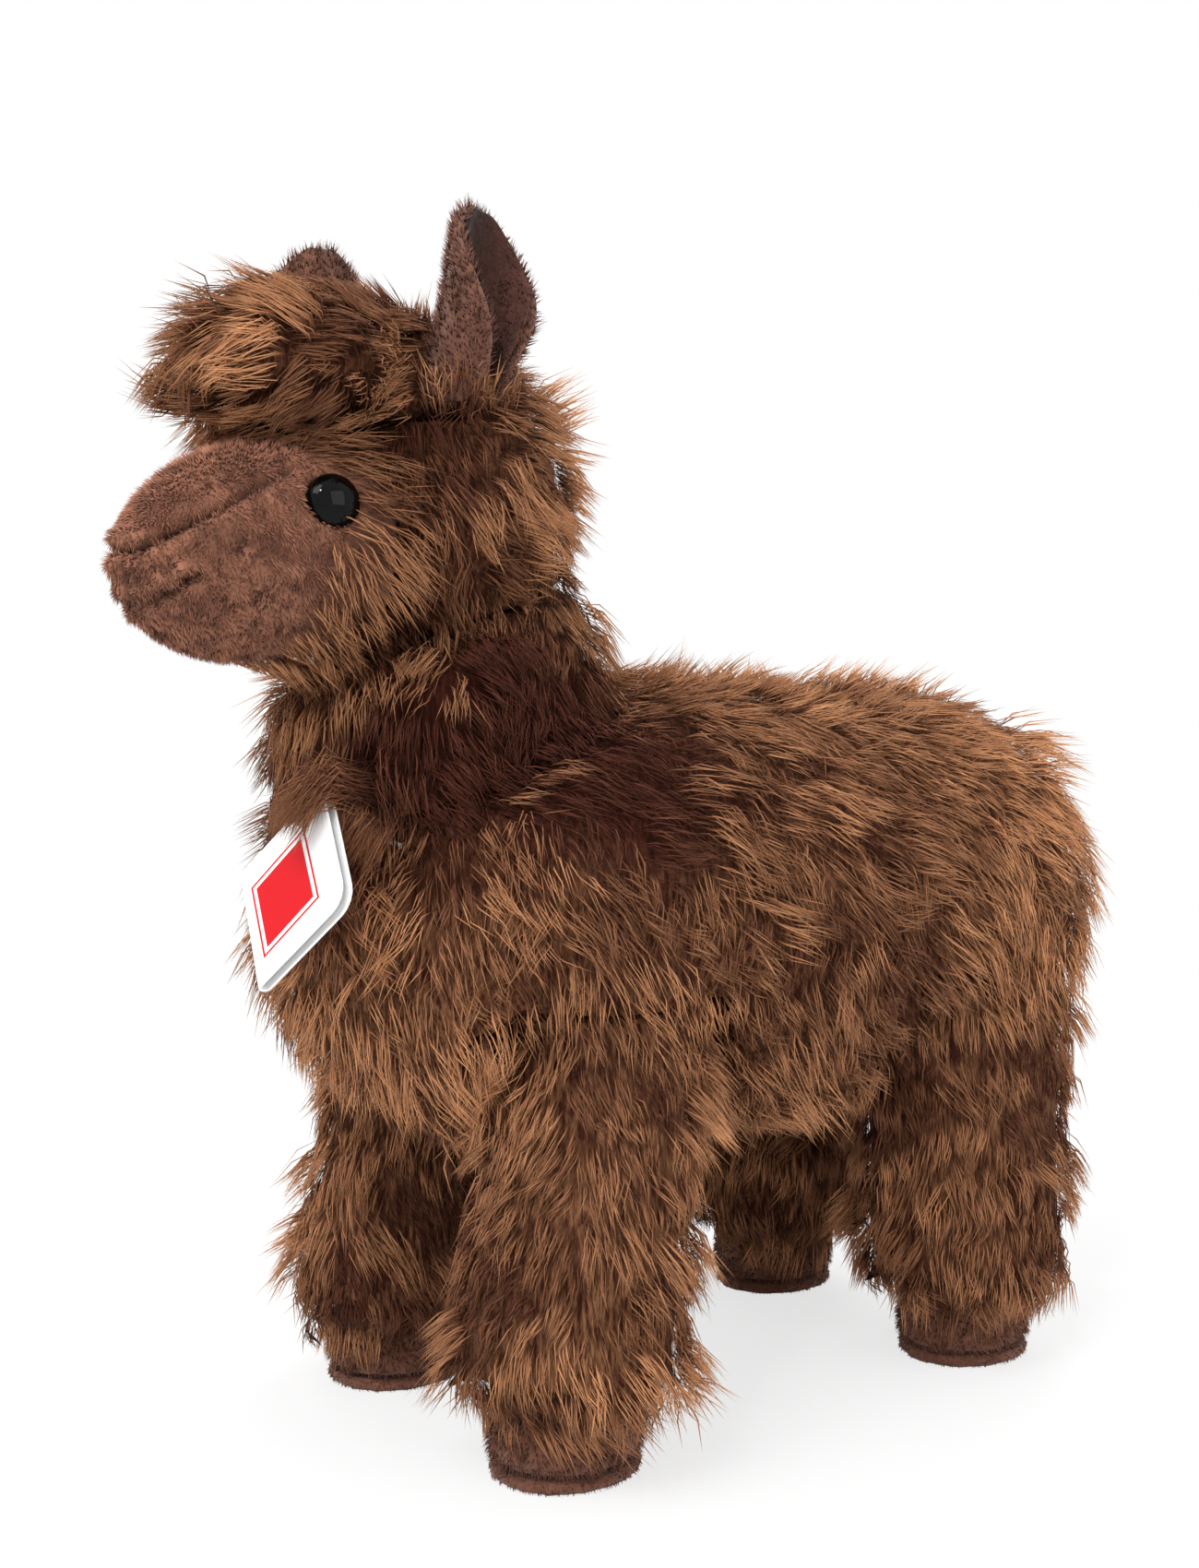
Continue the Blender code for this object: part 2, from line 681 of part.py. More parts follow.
def build_sole(name, x, y, finish):
    """The oval pad under a foot, with a rolled edge."""
    bm = bmesh.new()
    sides = 18
    rings = []
    middle = SOLE_THICKNESS / 2
    for height, inset in ((0.0, SOLE_EDGE), (middle * 0.4, SOLE_EDGE * 0.2),
                          (middle * 1.6, SOLE_EDGE * 0.2), (SOLE_THICKNESS, SOLE_EDGE)):
        ring = []
        for j in range(sides):
            angle = 2 * math.pi * j / sides
            across = (FOOT_WIDTH / 2 + 0.5 * MM - inset) * math.cos(angle)
            onward = (FOOT_LENGTH / 2 + 0.5 * MM - inset) * math.sin(angle)
            ring.append(bm.verts.new((x + across, y + onward, height)))
        rings.append(ring)
    for first, second in zip(rings, rings[1:]):
        bridge(bm, first, second)
    close_end(bm, rings[0])
    close_end(bm, rings[-1])
    return link_mesh(name, bm, finish, math.radians(50))


def tag_outline():
    """The unfolded card, fold along its middle line, with the four outer corners rounded."""
    corners = []
    for sx, sy in ((1, 1), (-1, 1), (-1, -1), (1, -1)):
        middle = Vector((sx * (TAG_SIDE - TAG_CORNER), sy * (TAG_SIDE / 2 - TAG_CORNER)))
        first = math.atan2(sy, sx) - math.pi / 4
        for k in range(5):
            angle = first + math.pi / 2 * k / 4
            corners.append(middle + Vector((math.cos(angle), math.sin(angle))) * TAG_CORNER)
    return corners


def fold_card(x, depth):
    """(across, back) of a point of the card once folded: x from the fold, depth from its front face."""
    bend = math.pi * TAG_FOLD_RADIUS / 2
    radius = TAG_FOLD_RADIUS + depth
    if abs(x) < bend:
        angle = x / TAG_FOLD_RADIUS
        return (-math.cos(angle) * radius, -math.sin(angle) * radius)
    return (abs(x) - bend, -math.copysign(radius, x))


def build_tag(finish):
    """A card folded once at its left edge. Its front leaf faces -Y before it is placed."""
    bm = bmesh.new()
    sheet = bm.faces.new([bm.verts.new((p.x, p.y, 0)) for p in tag_outline()])
    bend = math.pi * TAG_FOLD_RADIUS / 2
    for k in range(7):
        place = Vector((bend * (k / 3 - 1), 0, 0))
        geometry = bm.verts[:] + bm.edges[:] + bm.faces[:]
        bmesh.ops.bisect_plane(bm, geom=geometry, plane_co=place, plane_no=(1, 0, 0), dist=1e-7)
    flat = bm.faces[:]
    raised = bmesh.ops.extrude_face_region(bm, geom=flat)
    for item in raised["geom"]:
        if isinstance(item, bmesh.types.BMVert):
            item.co.z = TAG_CARD
    for vertex in bm.verts:
        across, back = fold_card(vertex.co.x, vertex.co.z)
        vertex.co = (across, back, vertex.co.y)
    return link_mesh("swing_tag", bm, finish, math.radians(30))


def tag_matrix():
    """The card stands on one corner, leaning on the chest."""
    place = Matrix.Translation(Vector((TAG_ACROSS, TAG_FORWARD, TAG_HEIGHT)))
    facing = Matrix.Rotation(TAG_FACING, 4, "Z")
    tip_back = Matrix.Rotation(-TAG_TIP_BACK, 4, "X")
    corner = Matrix.Rotation(-TAG_ROLL, 4, "Y")
    middle = Matrix.Translation(Vector((-TAG_SIDE / 2, 0, 0)))
    return place @ facing @ tip_back @ corner @ middle


def tie_matrix():
    """At the card's top corner, with Z along the tie and out of the chest."""
    inset = TIE_HOLE_INSET
    corner = Matrix.Translation(Vector((TAG_SIDE - inset, 0, TAG_SIDE / 2 - inset)))
    return tag_matrix() @ corner @ Matrix.Rotation(math.radians(90), 4, "X")


def tie_profile(gap):
    """A round head in front of the card and a shank behind it, (radius, height) with the card at 0."""
    shank, head = TIE_DIAMETER / 2 + gap, TIE_HEAD_DIAMETER / 2 + gap
    front = TAG_FOLD_RADIUS + TAG_CARD + SEAM_GAP - gap
    return [(0.0, front + 0.8 * MM + 2 * gap), (head * 0.7, front + 0.8 * MM + 2 * gap),
            (head, front + 0.4 * MM), (head, front), (shank, front), (shank, -TIE_DEPTH - gap),
            (0.0, -TIE_DEPTH - gap)]


def build_tag_and_tie(card_finish, tie_finish):
    tag = build_tag(card_finish)
    place_mesh(tag, tag_matrix())
    tie = turned_profile("tag_tie", tie_profile(0.0), 12, tie_finish)
    place_mesh(tie, tie_matrix())
    room = as_cutter(turned_profile("tie_room", tie_profile(SEAM_GAP), 12, None))
    place_mesh(room, tie_matrix())
    cut(tag, room)
    return room


def stand_at_origin():
    """Moves the whole part so that the origin is the middle of its underside's box."""
    bpy.context.view_layer.update()
    graph = bpy.context.evaluated_depsgraph_get()
    ys = []
    for obj in bpy.data.objects:
        if obj.type == "MESH" and not obj.hide_render:
            solid = obj.evaluated_get(graph)
            ys += [(solid.matrix_world @ v.co).y for v in solid.data.vertices]
    middle = (min(ys) + max(ys)) / 2
    for obj in bpy.data.objects:
        if obj.parent is None:
            obj.location.y -= middle


def slab(name, bottom, top):
    """A box wider than the head, from one height to another, to trim a section flat."""
    bm = bmesh.new()
    bmesh.ops.create_cube(bm, size=1.0)
    for vertex in bm.verts:
        vertex.co.x *= 2 * CUT_REACH
        vertex.co.y = NECK_Y + vertex.co.y * 4 * CUT_REACH
        vertex.co.z = top if vertex.co.z > 0 else bottom
    return as_cutter(link_mesh(name, bm, None))


def build_legs(long_pile, short_pile, sole_cloth):
    """Four legs with their feet and soles. Returns the forms of the legs."""
    half = STANCE_WIDTH / 2
    places = {
        "front_left": (half, 0.0, SHOULDER_DEPTH, FRONT_LEG_LEAN),
        "front_right": (-half, 0.0, SHOULDER_DEPTH, FRONT_LEG_LEAN),
        "hind_left": (half, STANCE_LENGTH, HAUNCH_DEPTH, 0.0),
        "hind_right": (-half, STANCE_LENGTH, HAUNCH_DEPTH, 0.0),
    }
    forms = []
    for number, (corner, (x, y, depth, lean)) in enumerate(places.items()):
        form = leg_form(x, y, depth, lean)
        forms.append(form)
        shaggy_form("leg_" + corner, form, 5, 10, long_pile, seed=20 + number, lift=LEG_LIFT)
        build_foot("foot_" + corner, x, y, short_pile)
        build_sole("sole_" + corner, x, y, sole_cloth)
    return forms


def build_head_group(long_pile, short_pile, lining_cloth, eye_black, washer_white):
    """Head, topknot, muzzle, ears and eyes, looking straight ahead."""
    head = shaggy_form("head", head_form(), 5, 14, long_pile, seed=51, lift=3.6 * MM)
    topknot = shaggy_form("topknot", topknot_form(), 6, 13, long_pile, seed=61, lift=3.4 * MM)
    rooms = []
    ear_rooms = []
    lining_skin = EAR_BACK_THICKNESS + SEAM_GAP
    for word, side in (("left", 1), ("right", -1)):
        rooms.append(eye_room("eye_room_" + word, side))
        build_eye("eye_" + word, side, eye_black)
        build_washer("eye_washer_" + word, side, washer_white)
        build_ear("ear_back_" + word, side, (0.0, EAR_BACK_THICKNESS), short_pile)
        build_ear("ear_lining_" + word, side, (lining_skin, lining_skin + EAR_LINING_THICKNESS),
                  lining_cloth)
        ear_rooms.append(ear_room("ear_room_" + word, side))
    build_muzzle(short_pile, rooms)
    topknot_room = socket("topknot_room", topknot_form(), extra=6.2 * MM, behind=3 * MM)
    below = TOPKNOT_SEAT_Z - CUT_REACH
    cut(topknot, slab("topknot_seat", below, TOPKNOT_SEAT_Z), *ear_rooms)
    cut(topknot_room, slab("topknot_floor", below, TOPKNOT_SEAT_Z - SEAM_GAP))
    cut(head, topknot_room, *ear_rooms)
    return head


def turn_head(members):
    """Turns everything of the head about the neck's axis."""
    axis = bpy.data.objects.new("head_axis", None)
    axis.location = (0, NECK_Y, NECK_TOP_Z)
    bpy.context.scene.collection.objects.link(axis)
    for obj in members:
        obj.parent = axis
        obj.matrix_parent_inverse = Matrix.Translation(axis.location).inverted()
    axis.rotation_euler.z = HEAD_TURN


def main():
    clear_scene()
    long_pile = material("long_pile", LONG_PILE, 0.9, sheen=0.4)
    short_pile = material("short_pile", SHORT_PILE, 0.85, sheen=0.3)
    lining_cloth = material("ear_lining", EAR_LINING, 0.9, sheen=0.2)
    sole_cloth = material("sole_cloth", SOLE_CLOTH, 0.85, sheen=0.2)
    eye_black = material("eye_plastic", EYE_BLACK, 0.06)
    washer_white = material("washer_plastic", WASHER_WHITE, 0.4)
    card = material("tag_card", CARD_WHITE, 0.25)
    tie_clear = material("tie_plastic", TIE_CLEAR, 0.3)

    head = build_head_group(long_pile, short_pile, lining_cloth, eye_black, washer_white)
    turn_head(list(bpy.data.objects))

    legs = build_legs(long_pile, short_pile, sole_cloth)
    neck, tail = neck_form(), tail_form()
    cut(head, socket("head_seat", neck, extra=0.7 * CUT_REACH, behind=SOCKET_GAP, beyond=CUT_REACH / 3))
    torso = build_torso(long_pile, neck, legs, tail)
    neck_obj = shaggy_form("neck", neck, 4, 15, long_pile, seed=31, hem=0.42)
    shaggy_form("tail", tail, 4, 6, long_pile, seed=41, lift=2.2 * MM, sag=0.6 * MM)

    tie_room = build_tag_and_tie(card, tie_clear)
    cut(torso, tie_room)
    cut(neck_obj, tie_room)
    for name in ("torso", "head", "topknot", "muzzle"):
        keep_one_body(bpy.data.objects[name])
    stand_at_origin()


main()
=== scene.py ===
"""Finishes a standing plush alpaca: shaggy coat, short-pile face and feet, eyes, tag and a plain studio."""

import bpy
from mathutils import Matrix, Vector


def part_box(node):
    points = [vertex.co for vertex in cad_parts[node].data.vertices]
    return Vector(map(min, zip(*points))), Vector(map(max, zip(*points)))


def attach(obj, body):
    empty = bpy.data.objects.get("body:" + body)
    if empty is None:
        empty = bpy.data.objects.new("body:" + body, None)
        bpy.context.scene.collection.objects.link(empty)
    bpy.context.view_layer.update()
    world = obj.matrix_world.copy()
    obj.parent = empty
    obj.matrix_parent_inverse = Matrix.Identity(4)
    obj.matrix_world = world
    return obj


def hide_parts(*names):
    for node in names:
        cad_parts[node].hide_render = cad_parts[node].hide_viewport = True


bl_info = {
    "name": "Plush alpaca finish",
    "version": (1, 0, 0),
    "blender": (4, 5, 0),
    "location": "3D View > Sidebar > Alpaca",
    "description": "Dresses a stuffed alpaca in long pile, short pile and its small fittings",
    "category": "Object",
}

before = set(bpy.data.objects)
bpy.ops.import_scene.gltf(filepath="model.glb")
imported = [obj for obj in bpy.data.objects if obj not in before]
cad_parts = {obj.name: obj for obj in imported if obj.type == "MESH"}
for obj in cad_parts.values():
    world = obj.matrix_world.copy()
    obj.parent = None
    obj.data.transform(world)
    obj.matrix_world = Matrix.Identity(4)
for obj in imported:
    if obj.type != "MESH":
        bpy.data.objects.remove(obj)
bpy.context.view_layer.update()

import math

import bpy
import numpy as np
from mathutils import Matrix, Vector, kdtree, noise
from mathutils.bvhtree import BVHTree

MM = 0.001


def mm(*numbers):
    """A place given in millimetres."""
    return Vector(numbers) * MM


# Nodes by kind of fabric
LEGS = ("leg_front_left", "leg_front_right", "leg_hind_left", "leg_hind_right")
LONG_PILE = ("torso", "neck", "head", "topknot", "tail") + LEGS
FEET = tuple(name.replace("leg", "foot") for name in LEGS)
SOLES = tuple(name.replace("leg", "sole") for name in LEGS)
EARS = ("ear_back_left", "ear_back_right")
LININGS = ("ear_lining_left", "ear_lining_right")
SLIPPERY = ("muzzle",) + EARS + LININGS + FEET + SOLES  # pieces that the pile lies over

# Places on the body
FEET_Y = sum(corner.y for corner in map(Vector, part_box("sole_front_left"))) / 2
HEAD_TURN = math.radians(7.0)
HEAD_AXIS = Vector((0.0, FEET_Y - 9.0 * MM, 0.0))  # the neck's middle, which the head turns about
CROWN_START = 206 * MM  # above this the pile stands up and roots deeper
HEM_TOP = 24 * MM  # below this the legs' pile hangs free

# The skin that the pile roots in
SKIN_GRID = 2.2 * MM
SINK_STEPS = 6
# How deep it lies below the solids, in mm
SUNK = {"torso": 3.0, "neck": 3.6, "head": 3.8, "topknot": 3.8, "tail": 2.6}
LEG_SUNK, SHORT_PILE_SUNK = 3.1, 0.8
CROWN_SUNK = 2.6 * MM  # how much deeper it roots on the crown
HEM_SHARE = 1.35  # how much denser the pile is on the hems
UNDER_SHARE = 0.5  # of the pile's thickness that faces down, under the belly and inside the hems
STRAND_STEPS = 2  # straight pieces of a long strand
FULL_TURN = 6.28  # radians, for where along its wave a strand starts

# The padded backing under the pile
PAD_GRID = 3.0 * MM
PAD_ROOM = 0.5 * MM

# Seams of the face, in the head's own frame before its turn: across, forward and height
BRIDGE_SEAM = (mm(4.2, -67.6, 168.2), mm(15.5, -56.0, 174.8), mm(13.6, -38.5, 185.8))
NOSE_CREASE = (mm(4.2, -67.6, 168.2), mm(0.0, -70.0, 169.4), mm(-4.2, -67.6, 168.2))
LIP_SEAM = (mm(0.6, -69.0, 168.6), mm(0.6, -68.5, 160.0), mm(0.6, -56.0, 148.0))
MOUTH = (mm(0.8, -66.0, 159.2), mm(8.0, -65.5, 158.6), mm(11.6, -60.0, 164.2))

# Eyes
EYE_RADIUS = 5 * MM
EYE_DOME = 3.3 * MM
EYE_RIM = 0.7 * MM
EYE_STEM_RADIUS = 1.3 * MM
EYE_STEM = 7 * MM

LEFT_EAR_DROP = 2.4 * MM  # how far the left ear's tip bows down
LOZENGES = ((0.0, 0.55), (0.62, 0.66))  # plain lozenge and its border, as shares of the tag's size

# The camera, solved from the photo's eye and feet
CAMERA_PLACE = (0.2991, FEET_Y - 0.1901, 0.1370)
CAMERA_TURN = math.atan2(0.804, 0.595)
HORIZON_RISE, FOCAL_POINTS = 52, 1917  # picture points: the horizon above the middle, the focal length

# Lamps: name, place, width and power
LAMPS = (("key", (0.3, -1.3, 1.5), 1.0, 17.0), ("fill", (1.7, 0.3, 0.8), 1.2, 8.0),
         ("glint", (0.45, -0.59, 0.78), 0.07, 1.7), ("back", (-0.8, 1.2, 1.5), 1.0, 10.0))
LAMP_AIM = Vector((0, 0, 0.11))


# Meshes

def pick(*objects):
    """Selects only these objects, the last of them active."""
    bpy.ops.object.select_all(action="DESELECT")
    for obj in objects:
        obj.select_set(True)
    bpy.context.view_layer.objects.active = objects[-1]


def copy_of(node, name):
    """A merged copy of a CAD node's mesh, as a new object at the origin."""
    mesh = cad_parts[node].data.copy()
    mesh.materials.clear()
    obj = bpy.data.objects.new(name, mesh)
    bpy.context.scene.collection.objects.link(obj)
    pick(obj)
    bpy.ops.object.mode_set(mode="EDIT")
    bpy.ops.mesh.select_all(action="SELECT")
    bpy.ops.mesh.remove_doubles(threshold=0.00001)
    bpy.ops.object.mode_set(mode="OBJECT")
    bpy.ops.object.shade_smooth()
    return obj


def finish_with(obj, kind, **settings):
    """Adds a modifier to an object and applies it."""
    pick(obj)
    modifier = obj.modifiers.new(kind.lower(), kind)
    for key, value in settings.items():
        setattr(modifier, key, value)
    bpy.ops.object.modifier_apply(modifier=modifier.name)


def points_of(mesh):
    flat = np.empty(len(mesh.vertices) * 3)
    mesh.vertices.foreach_get("co", flat)
    return flat.reshape(-1, 3)


def normals_of(mesh):
    flat = np.empty(len(mesh.vertices) * 3)
    mesh.vertex_normals.foreach_get("vector", flat)
    return flat.reshape(-1, 3)


def set_points(mesh, points):
    mesh.vertices.foreach_set("co", points.ravel())
    mesh.update()


def edges_of(mesh):
    flat = np.empty(len(mesh.edges) * 2, dtype=np.int64)
    mesh.edges.foreach_get("vertices", flat)
    return flat.reshape(-1, 2)


def spread(values, edges, rounds):
    """Evens out numbers kept on vertices along the mesh's edges."""
    near = np.bincount(edges.ravel(), minlength=len(values)).astype(float)
    for _ in range(rounds):
        total = np.bincount(edges[:, 0], values[edges[:, 1]], len(values))
        total += np.bincount(edges[:, 1], values[edges[:, 0]], len(values))
        values = 0.5 * values + 0.5 * total / np.maximum(near, 1)
    return values


def triangles_of(mesh):
    """The numbers of the vertices of each triangle of a mesh."""
    mesh.calc_loop_triangles()
    flat = np.empty(len(mesh.loop_triangles) * 3, dtype=np.int64)
    mesh.loop_triangles.foreach_get("vertices", flat)
    return flat.reshape(-1, 3)


def areas_of(points, corners):
    a, b, c = (points[corners[:, k]] for k in range(3))
    return np.linalg.norm(np.cross(b - a, c - a), axis=1) / 2


def search_tree(points, corners):
    return BVHTree.FromPolygons([Vector(p) for p in points], [tuple(c) for c in corners])


def point_tree(points):
    """A search tree over points, which it numbers in order."""
    tree = kdtree.KDTree(len(points))
    for number, point in enumerate(points):
        tree.insert(point, number)
    tree.balance()
    return tree


def keep_on(mesh, name, values):
    """Keeps a number for each vertex as an attribute that a shader reads."""
    mesh.attributes.new(name, "FLOAT", "POINT").data.foreach_set("value", values)


def tree_of(names):
    """A search tree over CAD nodes, and the node's number for each of its faces."""
    points, faces, owners = [], [], []
    for number, name in enumerate(names):
        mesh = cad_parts[name].data
        corners = triangles_of(mesh) + len(points)
        points += [v.co.copy() for v in mesh.vertices]
        faces += corners.tolist()
        owners += [number] * len(corners)
    return BVHTree.FromPolygons(points, faces), owners


def unit(vectors):
    return vectors / np.maximum(np.linalg.norm(vectors, axis=-1, keepdims=True), 1e-9)


def hill(away, reach):
    """From 1 where away is 0 down to 0 well past the reach."""
    return np.exp(-((away / reach) ** 2))


def ramp_up(values, start, reach):
    """From 0 at the start to 1 at reach past it."""
    return np.clip((values - start) / reach, 0, 1)


def scatter(points, normals, corners, areas, per_mm2, rng):
    """Random places over a mesh's triangles, with their normals and the numbers of their triangles."""
    count = int(areas.sum() / MM**2 * per_mm2)
    face = rng.choice(len(areas), count, p=areas / areas.sum())
    u, v = rng.random(count), rng.random(count)
    over = u + v > 1
    u[over], v[over] = 1 - u[over], 1 - v[over]
    share = np.stack((1 - u - v, u, v), axis=1)[:, :, None]
    places = (points[corners[face]] * share).sum(axis=1)
    return places, unit((normals[corners[face]] * share).sum(axis=1)), face


def in_head(points):
    """World points in the head's own frame, before its turn about the neck."""
    moved = points - np.array(HEAD_AXIS)
    cos, sin = math.cos(-HEAD_TURN), math.sin(-HEAD_TURN)
    return np.stack((moved[:, 0] * cos - moved[:, 1] * sin, moved[:, 0] * sin + moved[:, 1] * cos,
                     moved[:, 2]), axis=1)


def from_head(point):
    return Matrix.Rotation(HEAD_TURN, 3, "Z") @ Vector(point) + HEAD_AXIS


def behind_face(points):
    """How far points lie behind the edge where the face's short pile meets the long pile, in metres."""
    x, y, z = in_head(points).T
    edge = -37.5 * MM - 7.5 * MM * ((z - 174 * MM) / (21 * MM)) ** 2
    return y - edge


def seam_points(bend, mirror, skin, count=60):
    """Points along a seam of the face, laid on a skin's surface. bend holds its start, pull and end."""
    start, pull, end = bend
    found = []
    for k in range(count + 1):
        u = k / count
        point = start * (1 - u) ** 2 + pull * 2 * u * (1 - u) + end * u**2
        point = from_head(Vector((point.x * mirror, point.y, point.z)))
        found.append(skin.find_nearest(point)[0])
    return found


def dress(obj, finish, nodes=()):
    """Gives a finished piece its material and its body, and hides the CAD nodes that it replaces."""
    obj.data.materials.clear()
    obj.data.materials.append(finish)
    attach(obj, "root")
    if nodes:
        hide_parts(*nodes)
    return obj


# Shaders

class Socket:
    """A shader socket that adds Math nodes where Python works on it."""

    def __init__(self, paint, link):
        self.paint, self.link = paint, link

    def _math(self, kind, first, second=None):
        return self.paint.node("ShaderNodeMath", {"operation": kind}, {0: first, 1: second})

    def __add__(self, other):
        return self._math("ADD", self, other)

    def __sub__(self, other):
        return self._math("SUBTRACT", self, other)

    def __mul__(self, other):
        return self._math("MULTIPLY", self, other)

    def __truediv__(self, other):
        return self._math("DIVIDE", self, other)

    def __gt__(self, other):
        return self._math("GREATER_THAN", self, other)

    def __lt__(self, other):
        return self._math("LESS_THAN", self, other)


class Paint:
    """A material under construction."""

    def __init__(self, name, **fixed):
        self.material = bpy.data.materials.new(name)
        self.material.use_nodes = True
        self.tree = self.material.node_tree
        self.shader = next(n for n in self.tree.nodes if n.type == "BSDF_PRINCIPLED")
        for key, value in fixed.items():
            self.shader.inputs[key.replace("_", " ")].default_value = value

    def node(self, kind, settings=None, values=None, output=0):
        """Adds a node. settings go on the node, or on its ramp as stops, and values on its sockets."""
        new = self.tree.nodes.new(kind)
        for key, value in (settings or {}).items():
            if key == "stops":
                ramp = new.color_ramp
                while len(ramp.elements) < len(value):
                    ramp.elements.new(0.5)
                for element, (place, colour) in zip(ramp.elements, value):
                    element.position = place
                    element.color = (*colour, 1.0)
            else:
                setattr(new, key, value)
        for key, value in (values or {}).items():
            if value is None:
                continue
            if isinstance(value, Socket):
                self.tree.links.new(value.link, new.inputs[key])
            else:
                new.inputs[key].default_value = value
        return Socket(self, new.outputs[output])

    def feed(self, key, value):
        self.tree.links.new(value.link, self.shader.inputs[key])

    def mix(self, share, first, second, kind="MIX"):
        """Mixes two colours, each a socket or an RGB triple."""
        def whole(colour):
            return colour if isinstance(colour, Socket) else (*colour, 1.0)
        return self.node("ShaderNodeMix", {"data_type": "RGBA", "blend_type": kind},
                         {0: share, 6: whole(first), 7: whole(second)}, output=2)

    def ramp(self, value, *stops):
        return self.node("ShaderNodeValToRGB", {"stops": stops}, {0: value})

    def place(self):
        return self.node("ShaderNodeTexCoord", output=3)

    def noise(self, scale, detail=2.0, vector=None, rough=0.5):
        return self.node("ShaderNodeTexNoise", None,
                         {"Vector": vector or self.place(), "Scale": scale, "Detail": detail,
                          "Roughness": rough})

    def bump(self, height, depth, strength=1.0):
        normal = self.node("ShaderNodeBump", None,
                           {"Height": height, "Distance": depth, "Strength": strength})
        self.feed("Normal", normal)


def linear(red, green, blue):
    """A colour as it looks on the screen, 0 to 255, in the numbers that a shader takes."""
    def one(value):
        value /= 255
        return value / 12.92 if value <= 0.04045 else ((value + 0.055) / 1.055) ** 2.4
    return (one(red), one(green), one(blue))


def strand_paint(name, dark, light):
    """Colour from root to tip along V, between a dark and a light lock along U."""
    paint = Paint(name, Roughness=0.7, Specular_IOR_Level=0.16)
    uv = paint.node("ShaderNodeUVMap", {"uv_map": "OFBake"})
    tone = paint.node("ShaderNodeSeparateXYZ", None, {0: uv})
    along = Socket(paint, tone.link.node.outputs[1])
    steps = (0.0, 0.35, 0.72, 1.0)
    low = paint.ramp(along, *zip(steps, dark))
    high = paint.ramp(along, *zip(steps, light))
    paint.feed("Base Color", paint.mix(tone, low, high))
    return paint.material


def short_strand_finish(name, colour, shade):
    """Short pile's own strands, from the shade at the root to a little lighter than the colour."""
    def level(base, share):
        return tuple(min(1.0, c * share) for c in base)
    dark = [level(shade, share) for share in (0.45, 0.55, 0.7, 0.85)]
    light = [level(shade, 0.8)] + [level(colour, share) for share in (1.1, 1.7, 2.3)]
    return strand_paint(name, dark, light)


def short_pile_paint(name, colour, shade, grain=1.0, painted_shade_mask=None):
    """Short plush: small soft dents and lighter and darker strokes where the nap lies over."""
    paint = Paint(name, Roughness=0.85, Specular_IOR_Level=0.08, Sheen_Weight=0.08 if painted_shade_mask else 0.25,
                  Sheen_Roughness=0.5)
    fine = paint.noise(1500.0 / grain, 2.0)
    stroke = paint.noise(420.0 / grain, 3.0, rough=0.6)
    patch = paint.noise(75.0, 2.0)
    lies_over = paint.ramp(patch, (0.40, (0, 0, 0)), (0.62, (1, 1, 1)))
    base = paint.mix(lies_over, colour, shade)
    tint = paint.ramp(stroke * 0.6 + fine * 0.4, (0.32, (0.62, 0.60, 0.58)), (0.66, (1.22, 1.2, 1.18)))
    base = paint.mix(1.0, base, tint, "MULTIPLY")
    # Along the mask the colour darkens to a tenth of the shade colour: painted shade in creases and folds.
    if painted_shade_mask:
        painted_shade = paint.node("ShaderNodeAttribute", {"attribute_name": painted_shade_mask}, output=2)
        base = paint.mix(painted_shade, base, tuple(c * 0.10 for c in shade))
    paint.feed("Base Color", base)
    paint.bump(fine * 0.5 + stroke, 0.0009 * grain, 0.8)
    return paint.material


# Coat

def owner_of(points, tree, owners):
    return np.array([owners[tree.find_nearest(Vector(p))[2]] for p in points])


